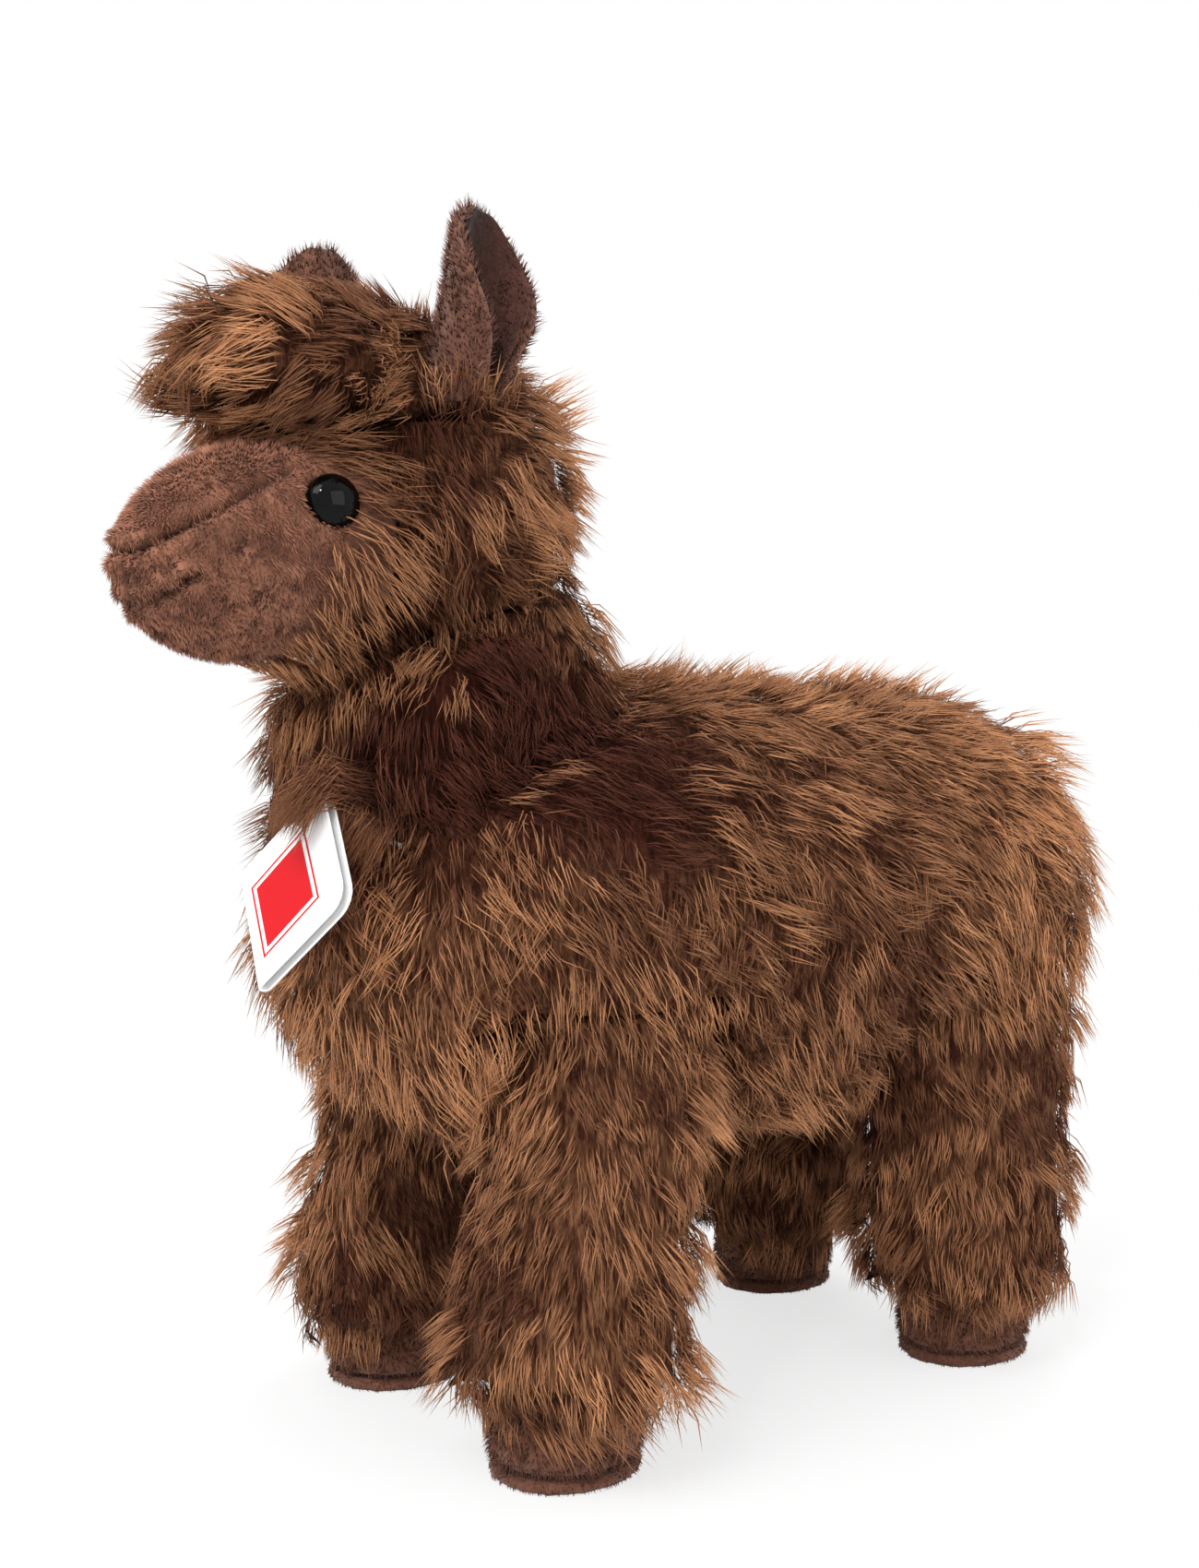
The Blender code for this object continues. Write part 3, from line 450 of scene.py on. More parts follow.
class Skin:
    """The toy's outside as one smooth closed skin, sunk below the solids' locks, that strands root in."""
    whole = None

    def __init__(self):
        names = LONG_PILE + FEET + SOLES + EARS + LININGS + ("muzzle",)
        copies = [copy_of(name, "skin_" + name) for name in names]
        pick(*copies)
        bpy.ops.object.join()
        self.obj = bpy.context.view_layer.objects.active
        finish_with(self.obj, "REMESH", mode="VOXEL", voxel_size=SKIN_GRID)
        tree, owners = tree_of(names)
        self.names = names
        depths = np.array([SUNK.get(n, LEG_SUNK if n in LEGS else SHORT_PILE_SUNK) for n in names]) * MM
        finish_with(self.obj, "SMOOTH", factor=0.5, iterations=14)
        depth = depths[owner_of(points_of(self.obj.data), tree, owners)]
        depth = depth + CROWN_SUNK * ramp_up(points_of(self.obj.data)[:, 2], CROWN_START, 8 * MM)
        depth = spread(depth, edges_of(self.obj.data), 8)
        for _ in range(SINK_STEPS):
            points = points_of(self.obj.data) - normals_of(self.obj.data) * depth[:, None] / SINK_STEPS
            set_points(self.obj.data, points)
            finish_with(self.obj, "SMOOTH", factor=0.5, iterations=1)
        finish_with(self.obj, "REMESH", mode="VOXEL", voxel_size=SKIN_GRID)
        finish_with(self.obj, "SMOOTH", factor=0.5, iterations=3)
        number = owner_of(points_of(self.obj.data) + normals_of(self.obj.data) * MM, tree, owners)
        mesh = self.obj.data
        self.corners = triangles_of(mesh)
        self.points, self.normals = points_of(mesh), normals_of(mesh)
        self.areas = areas_of(self.points, self.corners)
        owner = number[self.corners]
        same = (owner[:, 0] == owner[:, 1]) & (owner[:, 1] == owner[:, 2])
        self.owner = np.where(same, owner[:, 0], np.minimum.reduce(owner, axis=1))
        self.obj.hide_render = True

    @classmethod
    def get(cls):
        if cls.whole is None:
            cls.whole = cls()
        return cls.whole

    def sow(self, nodes, per_mm2, rng):
        """Random roots over the parts of the skin that belong to these nodes, and on the face's edge."""
        keep = np.isin(self.owner, [self.names.index(n) for n in nodes])
        middles = self.points[self.corners].mean(axis=1)
        keep &= (self.owner != self.names.index("muzzle")) | (behind_face(middles) > 0)
        below = (self.normals[self.corners].mean(axis=1)[:, 2] < -0.6) & (middles[:, 2] < 0.15)
        hem = middles[:, 2] < HEM_TOP
        areas = np.where(keep, self.areas, 0) * np.where(hem, HEM_SHARE, np.where(below, UNDER_SHARE, 1.0))
        points, normals, face = scatter(self.points, self.normals, self.corners, areas, per_mm2, rng)
        return points, normals, self.owner[face]


def wander(points, size, seed):
    """Smooth noise from about -1 to 1 at each point, size metres from hill to hill."""
    shift = Vector((seed * 3.17, seed * 1.71, seed * 2.33))
    return np.array([noise.noise(Vector(p) / size + shift) for p in points]) * 1.6


def turned(vectors, axes, angles):
    """Turns vectors about axes that stand at right angles to them."""
    side = np.cross(axes, vectors)
    return vectors * np.cos(angles)[:, None] + side * np.sin(angles)[:, None]


def nap(points, normals, owner, names):
    """The way the pile lies at each root, along the surface."""
    flow = np.zeros_like(points)
    side = np.sign(points[:, 0])
    high = ramp_up(points[:, 2], 115 * MM, 35 * MM)
    for number, name in enumerate(names):
        here = owner == number
        if not here.any():
            continue
        if name == "torso":
            back = ramp_up(points[here, 1], -50 * MM, 80 * MM)
            flow[here, 0] = 0.35 * side[here]
            flow[here, 1] = 0.15 + (0.25 + 0.75 * high[here]) * back
            flow[here, 2] = -1.0 + 0.2 * high[here]
        elif name == "neck":
            flow[here] = (0.0, 0.12, -1.0)
        elif name in ("head", "muzzle"):
            flow[here] = (0.0, 0.8, -0.75)
            flow[here, 2] += ramp_up(points[here, 2], 185 * MM, 30 * MM) * 1.1
        elif name == "topknot":
            crown = np.array((4.0 * MM, FEET_Y - 2 * MM, 212 * MM))
            flow[here] = unit(points[here] - crown) + np.array((0.0, -0.35, -0.40))
        elif name == "tail":
            flow[here] = (0.0, 0.6, -1.0)
        else:
            flow[here] = (0.0, 0.05, -1.0)
    flow -= normals * (flow * normals).sum(axis=1, keepdims=True)
    weak = np.linalg.norm(flow, axis=1) < 0.12
    flow[weak] += np.cross(normals[weak], (1.0, 0.2, 0.1))
    return unit(flow)


def lay(points, normals, flow, length, lean, bend, wave, phase):
    """Paths of strands: each leaves the skin leaning by lean, bends over by bend and waves sideways."""
    across = np.cross(normals, flow)
    paths = [points]
    for k in range(STRAND_STEPS):
        share = (k + 0.5) / STRAND_STEPS
        angle = lean + bend * share
        sway = wave * np.cos(phase + 4.2 * share)
        step = normals * np.cos(angle)[:, None] + flow * np.sin(angle)[:, None] + across * sway[:, None]
        paths.append(paths[-1] + unit(step) * (length / STRAND_STEPS)[:, None])
    return np.stack(paths, axis=1)


def nearest(of, among):
    """The number of the nearest of some points to each of these."""
    tree = point_tree(among)
    return np.array([tree.find(p)[1] for p in of])


def drawn_in(paths, guides, pull):
    """Draws strands towards their lock's guide, more towards the tip."""
    share = (np.arange(STRAND_STEPS + 1) / STRAND_STEPS) ** 0.8
    weight = pull[:, None] * share[None, :]
    return paths + (guides - paths) * weight[:, :, None]


def comb(nodes, coat, seed):
    """Plans the strands of some nodes in two sizes of lock. Returns paths and tones."""
    skin = Skin.get()
    rng = np.random.default_rng(seed)
    topknot, head, muzzle = (skin.names.index(name) for name in ("topknot", "head", "muzzle"))

    def plan(per_mm2):
        points, normals, owner = skin.sow(nodes, per_mm2, rng)
        return points, normals, owner, nap(points, normals, owner, skin.names)

    tufts, tuft_normals, tuft_owner, tuft_flow = plan(coat["tufts"])
    count = len(tufts)
    turn = wander(tufts, 0.045, seed) * coat["swirl"] + rng.normal(0, coat["stray"], count)
    tuft_flow = turned(tuft_flow, tuft_normals, turn)
    crest = tiers(tufts, tuft_normals, seed)
    long_way = coat["length"] * (1 + 0.32 * crest + rng.normal(0, 0.10, count))
    long_way = long_way * (1 + 0.55 * near_tie(tufts))
    lean = coat["lean"] - coat["tier"] * crest + rng.normal(0, 0.12, count)
    lean -= 0.65 * near_tie(tufts) + 0.42 * ridge(tufts) + 0.6 * round_ears(tufts)
    lean -= 0.6 * np.clip(-tuft_normals[:, 2], 0, 1) * (tuft_owner == topknot)
    lean -= 0.35 * ramp_up(tufts[:, 2], 188 * MM, 8 * MM) * (tuft_owner == head)
    bend = coat["bend"] + rng.normal(0, 0.15, count)
    tuft_paths = lay(tufts, tuft_normals, tuft_flow, long_way, lean, bend, coat["wave"],
                     rng.random(count) * FULL_TURN)
    # The crest share paints the tiers' crests lighter and the hollows between them darker: painted light and
    # shade.
    tuft_tone = 0.47 + 0.34 * crest + 0.26 * wander(tufts, 0.05, seed + 13) + rng.normal(0, 0.09, count)
    tuft_tone += shade_of_place(tufts)

    locks, lock_normals, _, lock_flow = plan(coat["locks"])
    home = nearest(locks, tufts)
    turn = turn[home] + rng.normal(0, 0.20, len(locks))
    lock_flow = turned(lock_flow, lock_normals, turn)
    lock_length = long_way[home] * rng.normal(1.0, 0.10, len(locks))
    lock_lean = lean[home] + rng.normal(0, 0.10, len(locks))
    lock_bend = bend[home] + rng.normal(0, 0.12, len(locks))
    lock_paths = lay(locks, lock_normals, lock_flow, lock_length, lock_lean, lock_bend, coat["wave"],
                     rng.random(len(locks)) * FULL_TURN)
    lock_paths = drawn_in(lock_paths, tuft_paths[home], np.full(len(locks), coat["tuft_pull"]))
    lock_tone = tuft_tone[home] + rng.normal(0, 0.06, len(locks))

    roots, normals, owner, flow = plan(coat["strands"])
    home = nearest(roots, locks)
    flow = turned(flow, normals, turn[home] + rng.normal(0, 0.14, len(roots)))
    length = lock_length[home] * np.clip(rng.normal(0.95, 0.16, len(roots)), 0.5, 1.25)
    edge = behind_face(roots)
    cheek = owner == muzzle
    length = np.where(cheek, length * np.clip(0.45 + edge / (14 * MM), 0.45, 1.0), length)
    paths = lay(roots, normals, flow, length, lock_lean[home] + rng.normal(0, 0.12, len(roots)),
                lock_bend[home], coat["wave"] * 0.5, rng.random(len(roots)) * FULL_TURN)
    pull = np.clip(rng.normal(coat["lock_pull"], 0.14, len(roots)), 0, 0.95) * np.where(cheek, 0.4, 1.0)
    paths = drawn_in(paths, lock_paths[home], pull)
    tone = lock_tone[home] + rng.normal(0, 0.05, len(roots))
    return paths, np.clip(tone, 0.03, 0.97)


def tiers(points, normals, seed):
    """Where the coat's overlapping tiers crest, from about -1 to 1: broad across the nap, short along it."""
    flat = np.abs(normals[:, 2]) > 0.75
    scale = np.where(flat[:, None], (24.0, 11.0, 24.0), (24.0, 24.0, 11.0)) * MM
    coarse = wander(points / scale, 1.0, seed + 3)
    fine = wander(points / scale, 0.5, seed + 4)
    phase = points[:, 2] / (11 * MM) * 2 * math.pi + 3.0 * wander(points, 0.03, seed + 8)
    rows = np.where(flat, 0.0, np.sin(phase))
    return np.clip(0.8 * coarse + 0.3 * fine + 0.45 * rows, -1.0, 1.0)


def near_tie(points):
    """From 1 at the place above the tag's tie, where a tuft hides it, to 0 well away from it."""
    low, high = map(Vector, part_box("tag_tie"))
    tuft = np.array((low + high) / 2) + np.array((3.0, 1.0, 6.0)) * MM
    return hill(np.linalg.norm(points - tuft, axis=1), 13 * MM)


def tie_tuft(count, rng):
    """Strands of the lock that the tag's tie comes out of, which hides it and the tag's top corner."""
    low, high = (np.array(v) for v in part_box("tag_tie"))
    across = (low[0] + high[0]) / 2
    inside = np.array((across, high[1] - 6 * MM, low[2] + 1.5 * MM))
    outside = np.array((across, low[1], high[2] - 1 * MM))
    along = unit(outside - inside)
    side = unit(np.cross(along, (0, 0, 1.0)))
    rise = np.cross(side, along)
    turn = rng.random(count) * 2 * math.pi
    ring = side * np.cos(turn)[:, None] + rise * np.sin(turn)[:, None]
    gap = 0.35 * MM + np.abs(rng.normal(0, 1.5 * MM, count))
    reach = np.linalg.norm(outside - inside) * rng.normal(1.02, 0.14, count)
    start = inside + ring * (gap * 1.3)[:, None]
    middle = inside + along * (reach * 0.5)[:, None] + ring * gap[:, None]
    end = inside + along * reach[:, None] + ring * (gap * 0.9)[:, None]
    part = rng.random(count)
    over, curtain = part < 0.3, part > 0.66
    many = over.sum()
    start[over] = inside + rng.normal(0, 2.5 * MM, (many, 3)) + np.array((0, 0, 8.5)) * MM
    middle[over] = outside + rng.normal(0, 1.7 * MM, (many, 3)) + np.array((1.0, 2.0, 5.5)) * MM
    end[over] = outside + rng.normal(0, 2.0 * MM, (many, 3)) + np.array((2.5, -6.0, -1.5)) * MM
    many = curtain.sum()
    place = inside + (outside - inside) * rng.uniform(0.05, 1.2, many)[:, None]
    drop = rng.uniform(0.3, 1.5, many)[:, None]
    start[curtain] = place + rng.normal(0, 1.6 * MM, (many, 3)) + np.array((-1.0, 4.5, 7.5)) * MM
    middle[curtain] = place + rng.normal(0, 0.6 * MM, (many, 3)) + np.array((2.2, 1.0, 2.5)) * MM
    end[curtain] = place + rng.normal(0, 1.4 * MM, (many, 3)) + np.array((2.4, -3.5, -3.8)) * drop * MM
    tones = 0.22 + 0.25 * wander(middle, 0.006, 14) + rng.normal(0, 0.10, count)
    return np.stack((start, middle, end), axis=1), np.clip(tones, 0.03, 0.8)


def round_ears(points):
    """From 1 round the foot of each ear, where the pile stands up against it, to 0 away from it."""
    share = np.zeros(len(points))
    for name in EARS:
        low, high = map(Vector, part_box(name))
        foot = np.array(((low.x + high.x) / 2, (low.y + high.y) / 2, low.z + 4 * MM))
        share = np.maximum(share, hill(np.linalg.norm(points - foot, axis=1), 11 * MM))
    return share


def ridge(points):
    """From 1 along the top of the back to 0 at its sides."""
    over = ramp_up(points[:, 2], 136 * MM, 8 * MM) * (points[:, 1] > -20 * MM)
    return hill(points[:, 0], 16 * MM) * over


def shade_of_place(points):
    """How much lighter or, below 0, darker the coat is by place. Lengths are in mm, from the front feet."""
    back, height = (points[:, 1] - FEET_Y) / MM, points[:, 2] / MM
    tone = 0.26 * hill(back - 134, 40) * hill(height - 112, 34)  # rump
    tone += 0.24 * hill(height - 154, 13) * (back > 10)  # top of the back
    tone += 0.22 * hill(back - 8, 13) * hill(height - 188, 26)  # back of the head
    tone += 0.20 * hill(back + 32, 24) * hill(height - 84, 22)  # chest
    tone += 0.08 * hill(height - 34, 16)  # lower legs
    tone -= 0.78 * hill(back + 3, 35) * hill(height - 134, 21)  # throat and shoulder
    tone -= 0.22 * hill(back + 24, 11) * hill(height - 176, 15)  # cheek
    tone -= 0.14 * hill(height - 206, 14) + 0.06 * (height > 160)  # crown, and the head as a whole
    return tone


def clear_of(paths, tones, rooms):
    """Lays strands over pieces that they would run into, or drops them. rooms holds metres by node."""
    keep = np.ones(len(paths), dtype=bool)
    for name, room in rooms.items():
        tree, _ = tree_of((name,))
        slides = name in SLIPPERY
        low, high = (np.array(v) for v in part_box(name))
        margin = max(room, 1 * MM)
        close = ((paths > low - margin) & (paths < high + margin)).all(axis=2).any(axis=1)
        for k in np.nonzero(keep & close)[0]:
            points = [Vector(p) for p in paths[k]]
            for j in range(1, len(points)):
                place, normal, _, distance = tree.find_nearest(points[j])
                if (points[j] - place).dot(normal) < 0 or distance < room:
                    if not slides:
                        keep[k] = False
                        break
                    points[j] = place + normal * room
                    paths[k, j] = points[j]
            for start, end in zip(points[1:], points[2:]):
                way = end - start
                if tree.ray_cast(start, way.normalized(), way.length)[0] is not None:
                    keep[k] = False
    return paths[keep], tones[keep]


def strand_mesh(name, paths, tones, width, rng):
    """Builds three-sided closed strands, with U for the tone and V from root to tip.

    A path of two points makes a spike that stands on its ring. A path of three makes a strand with its
    ring halfway, pointed at both ends.
    """
    spike = paths.shape[1] == 2
    count = len(paths)
    tangent = unit(paths[:, -1] - paths[:, 0])
    first = unit(np.cross(tangent, unit(rng.normal(size=(count, 3)))))
    second = np.cross(tangent, first)
    radius = rng.uniform(0.7, 1.3, count)[:, None] * width / 2
    ring = 0 if spike else 1  # the number of the ring's first vertex
    tip = ring + 3
    verts = np.empty((count, tip + 1, 3))
    verts[:, 0] = paths[:, 0]
    verts[:, tip] = paths[:, -1]
    for side, angle in enumerate((0.0, 2 * math.pi / 3, 4 * math.pi / 3)):
        verts[:, ring + side] = paths[:, ring] + (first * math.cos(angle) + second * math.sin(angle)) * radius
    height = 0.15 if spike else 0.5
    faces, places = [], []
    if spike:
        faces.append((0, 2, 1))
        places.append(((-1, 0.1), (1, 0.1), (0, 0.1)))
    for side in range(3):
        a, b = ring + side, ring + (side + 1) % 3
        if not spike:
            faces.append((0, b, a))
            places.append(((0, 0), (1, height), (-1, height)))
        faces.append((a, b, tip))
        places.append(((-1, height), (1, height), (0, 1)))
    faces, places = np.array(faces), np.array(places, dtype=float)
    index = (faces[None] + (np.arange(count) * (tip + 1))[:, None, None]).ravel()
    uv = np.empty((count, len(faces), 3, 2))
    uv[..., 0] = tones[:, None, None] + places[None, :, :, 0] * 0.02
    uv[..., 1] = places[None, :, :, 1]
    mesh = bpy.data.meshes.new(name)
    mesh.vertices.add(count * (tip + 1))
    mesh.vertices.foreach_set("co", verts.ravel())
    mesh.loops.add(len(index))
    mesh.loops.foreach_set("vertex_index", index)
    mesh.polygons.add(len(index) // 3)
    mesh.polygons.foreach_set("loop_start", np.arange(0, len(index), 3))
    mesh.polygons.foreach_set("use_smooth", np.ones(len(index) // 3, dtype=bool))
    mesh.update(calc_edges=True)
    layer = mesh.uv_layers.new(name="OFBake")
    layer.data.foreach_set("uv", uv.ravel())
    obj = bpy.data.objects.new(name, mesh)
    bpy.context.scene.collection.objects.link(obj)
    return obj


def coat_settings(**changes):
    look = bpy.context.scene.alpaca_coat
    coat = {"tufts": 1 / 80, "locks": 1 / 7, "strands": look.strands_per_mm2, "length": look.length,
            "lean": 0.84, "bend": 0.70, "wave": 0.45, "swirl": 0.8, "stray": 0.30, "tuft_pull": 0.40,
            "lock_pull": 0.55, "tier": 0.30}
    coat.update(changes)
    return coat


def long_pile_finish():
    found = bpy.data.materials.get("long_pile_strands")
    if found:
        return found
    look = bpy.context.scene.alpaca_coat
    root, dark, light = tuple(look.root), tuple(look.dark), tuple(look.light)
    def between(a, b, share):
        return tuple(p + (q - p) * share for p, q in zip(a, b))
    low = (tuple(c * 0.55 for c in root), between(root, dark, 0.2), between(root, dark, 0.8), dark)
    high = (root, between(root, light, 0.30), between(root, light, 0.75), light)
    return strand_paint("long_pile_strands", low, high)


def grow_coat(name, nodes, seed, rooms=None, **changes):
    """Grows the long pile of some nodes as one piece."""
    coat = coat_settings(**changes)
    paths, tones = comb(nodes, coat, seed)
    if rooms:
        paths, tones = clear_of(paths, tones, rooms)
    look = bpy.context.scene.alpaca_coat
    obj = strand_mesh(name, paths, tones, look.width, np.random.default_rng(seed + 1))
    return dress(obj, long_pile_finish())


def fuzz(name, source, per_mm2, length, width, finish, seed, tone=0.45, where=None, lie=0.9,
         flow=(0.0, 0.3, -1.0), shade=None):
    """Short pile: straight spikes that stand on a piece's skin and lean along the flow."""
    rng = np.random.default_rng(seed)
    mesh = source.data
    corners, points, normals = triangles_of(mesh), points_of(mesh), normals_of(mesh)
    areas = areas_of(points, corners)
    if where is not None:
        a, b, c = (points[corners[:, k]] for k in range(3))
        areas = np.where(where((a + b + c) / 3), areas, 0)
    roots, out, _ = scatter(points, normals, corners, areas, per_mm2, rng)
    count = len(roots)
    drift = np.broadcast_to(np.array(flow), roots.shape)
    drift = drift - out * (drift * out).sum(axis=1, keepdims=True)
    ruffle, ridges = wander(roots, 3.2 * MM, seed), wander(roots, 2.2 * MM, seed + 5)
    way = out + drift * (lie * (1 + 0.5 * ridges))[:, None] + np.cross(out, drift) * (0.9 * ruffle)[:, None]
    way = unit(way + rng.normal(0, 0.16, roots.shape))
    reach = length * (1 + 0.25 * ridges) * rng.uniform(0.75, 1.25, count)
    reach = reach * np.clip(roots[:, 2] / (5 * MM), 0.4, 1)
    paths = np.stack((roots - out * 0.15 * MM, roots + way * reach[:, None]), axis=1)
    tones = tone + 0.22 * wander(roots, 14 * MM, seed) + 0.34 * ruffle + 0.34 * ridges
    tones += rng.normal(0, 0.07, count)
    # shade adds tone by place, which the muzzle uses for painted light and shade.
    if shade:
        tones = tones + shade(roots)
    tones = np.clip(tones, 0.03, 0.97)
    return dress(strand_mesh(name, paths, tones, width, rng), finish)


# Settings

def size(name, words, default, least=0.0, most=1.0):
    return bpy.props.FloatProperty(name=name, description=words, default=default, min=least, max=most,
                                   unit="LENGTH", subtype="DISTANCE", precision=5)


def tint(name, words, default):
    return bpy.props.FloatVectorProperty(name=name, description=words, default=default, size=3,
                                         min=0.0, max=1.0, subtype="COLOR")


class CoatSettings(bpy.types.PropertyGroup):
    length: size("Pile length", "Length of a strand of the long pile", 0.0115)
    width: size("Strand width", "Thickness of a strand of the long pile", 0.00028)
    strands_per_mm2: bpy.props.FloatProperty(
        name="Strands", description="Strands on each square millimetre", default=1.0, min=0.05, max=3.0)
    root: tint("Root", "Colour of the pile at its root", linear(80, 39, 27))
    dark: tint("Dark tip", "Tip colour of the darkest locks", linear(72, 32, 24))
    light: tint("Light tip", "Tip colour of the lightest locks", linear(250, 181, 128))


class FaceSettings(bpy.types.PropertyGroup):
    muzzle: tint("Muzzle", "Short pile of the muzzle", linear(152, 105, 84))
    muzzle_shade: tint("Muzzle shade", "Muzzle where its nap lies over", linear(104, 68, 55))
    ear: tint("Ear", "Short pile of the ear's back", linear(118, 80, 66))
    lining: tint("Lining", "Smooth plush inside the ear", linear(92, 60, 52))
    foot: tint("Foot", "Short pile of feet and soles", linear(118, 78, 62))


class TagSettings(bpy.types.PropertyGroup):
    card: tint("Card", "Colour of the swing tag", (0.86, 0.86, 0.86))
    lozenge: tint("Lozenge", "Colour of the lozenge printed on the tag", linear(205, 10, 24))


class StageSettings(bpy.types.PropertyGroup):
    lens: size("Lens", "Focal length of the camera on its 36 mm frame", 0.0406)
    floor: size("Floor", "Width of the floor", 6.0, 0.5, 20.0)
    daylight: bpy.props.FloatProperty(name="Surroundings", description="Light that comes from all around",
                                      default=0.85, min=0.0, max=2.0)


# Operators

def pull_inside(obj, tree, room):
    """Moves an object's points that stand out of a skin, or lie too close under it, to room below it."""
    points = points_of(obj.data)
    for k, point in enumerate(points):
        place, normal, _, distance = tree.find_nearest(Vector(point))
        if (Vector(point) - place).dot(normal) > 0 or distance < room:
            points[k] = place - normal * room
    set_points(obj.data, points)


class ALPACA_OT_backing(bpy.types.Operator):
    """Make the stuffed backing under the long pile, one closed form for each sewn section"""
    bl_idname = "alpaca.backing"
    bl_label = "Pile backing"

    def execute(self, context):
        skin = Skin.get()
        paint = Paint("pile_backing", Roughness=0.85, Specular_IOR_Level=0.1)
        look = context.scene.alpaca_coat
        hung = paint.node("ShaderNodeMapping", {"vector_type": "POINT"},
                          {0: paint.place(), 3: (1.0, 1.0, 0.16)})
        streak = paint.ramp(paint.noise(1100.0, 3.0, hung, 0.6), (0.38, (0, 0, 0)), (0.62, (1, 1, 1)))
        tone = paint.node("ShaderNodeAttribute", {"attribute_name": "tone"}, output=2)
        deep, lit = tuple(look.root), tuple(look.light)
        dark = paint.mix(streak, tuple(c * 0.35 for c in deep), deep)
        pale = paint.mix(streak, tuple(c * 0.8 for c in deep), tuple(c * 0.42 for c in lit))
        paint.feed("Base Color", paint.mix(tone, dark, pale))
        paint.bump(streak, 0.0010, 0.7)
        under = search_tree(skin.points, skin.corners)
        for name in LONG_PILE:
            pad = copy_of(name, name + "_backing")
            finish_with(pad, "REMESH", mode="VOXEL", voxel_size=PAD_GRID)
            finish_with(pad, "SMOOTH", factor=0.5, iterations=3)
            for _ in range(3):
                pull_inside(pad, under, PAD_ROOM)
                finish_with(pad, "SMOOTH", factor=0.5, iterations=1)
            pull_inside(pad, under, PAD_ROOM)
            pick(pad)
            bpy.ops.object.shade_smooth()
            places = points_of(pad.data)
            tones = np.clip(0.45 + 0.2 * wander(places, 0.012, 7) + shade_of_place(places), 0, 1)
            keep_on(pad.data, "tone", tones)
            dress(pad, paint.material, (name,))
        return {"FINISHED"}


class ALPACA_OT_body_coat(bpy.types.Operator):
    """Grow the long pile of the torso and the tail"""
    bl_idname = "alpaca.body_coat"
    bl_label = "Body coat"

    def execute(self, context):
        for seed, part in ((11, "a"), (12, "b")):
            grow_coat("torso_coat_" + part, ("torso",), seed, {"swing_tag": 0.6 * MM}, strands=0.42,
                      length=0.0110)
        grow_coat("tail_coat", ("tail",), 13)
        paths, tones = clear_of(*tie_tuft(2000, np.random.default_rng(14)), {"swing_tag": 0.15 * MM})
        width = context.scene.alpaca_coat.width
        tuft = strand_mesh("tie_tuft", paths, tones, width, np.random.default_rng(15))
        dress(tuft, long_pile_finish())
        return {"FINISHED"}


class ALPACA_OT_head_coat(bpy.types.Operator):
    """Grow the long pile of the neck, the head and the topknot"""
    bl_idname = "alpaca.head_coat"
    bl_label = "Head coat"

    def execute(self, context):
        rooms = {name: 0.3 * MM for name in EARS + LININGS}
        rooms.update(eye_left=1.3 * MM, eye_right=1.3 * MM)
        grow_coat("neck_coat", ("neck",), 21, {"muzzle": 0.5 * MM, "swing_tag": 0.6 * MM}, strands=1.2)
        grow_coat("head_coat", ("head", "muzzle"), 22, rooms, length=0.0110, strands=1.2)
        rooms["muzzle"] = 1.0 * MM
        grow_coat("topknot_coat", ("topknot",), 23, rooms, lean=0.48, bend=1.10, length=0.0112, strands=2.0)
        return {"FINISHED"}


class ALPACA_OT_leg_coats(bpy.types.Operator):
    """Grow the long pile of the four legs, down over the feet"""
    bl_idname = "alpaca.leg_coats"
    bl_label = "Leg coats"

    def execute(self, context):
        for number, name in enumerate(LEGS):
            foot = name.replace("leg", "foot")
            grow_coat(name + "_coat", (name,), 31 + number, {foot: 1.2 * MM}, length=0.0100,
                      strands=0.92, tufts=1 / 60, swirl=0.45, stray=0.22, lean=0.86, tier=0.36)
        return {"FINISHED"}


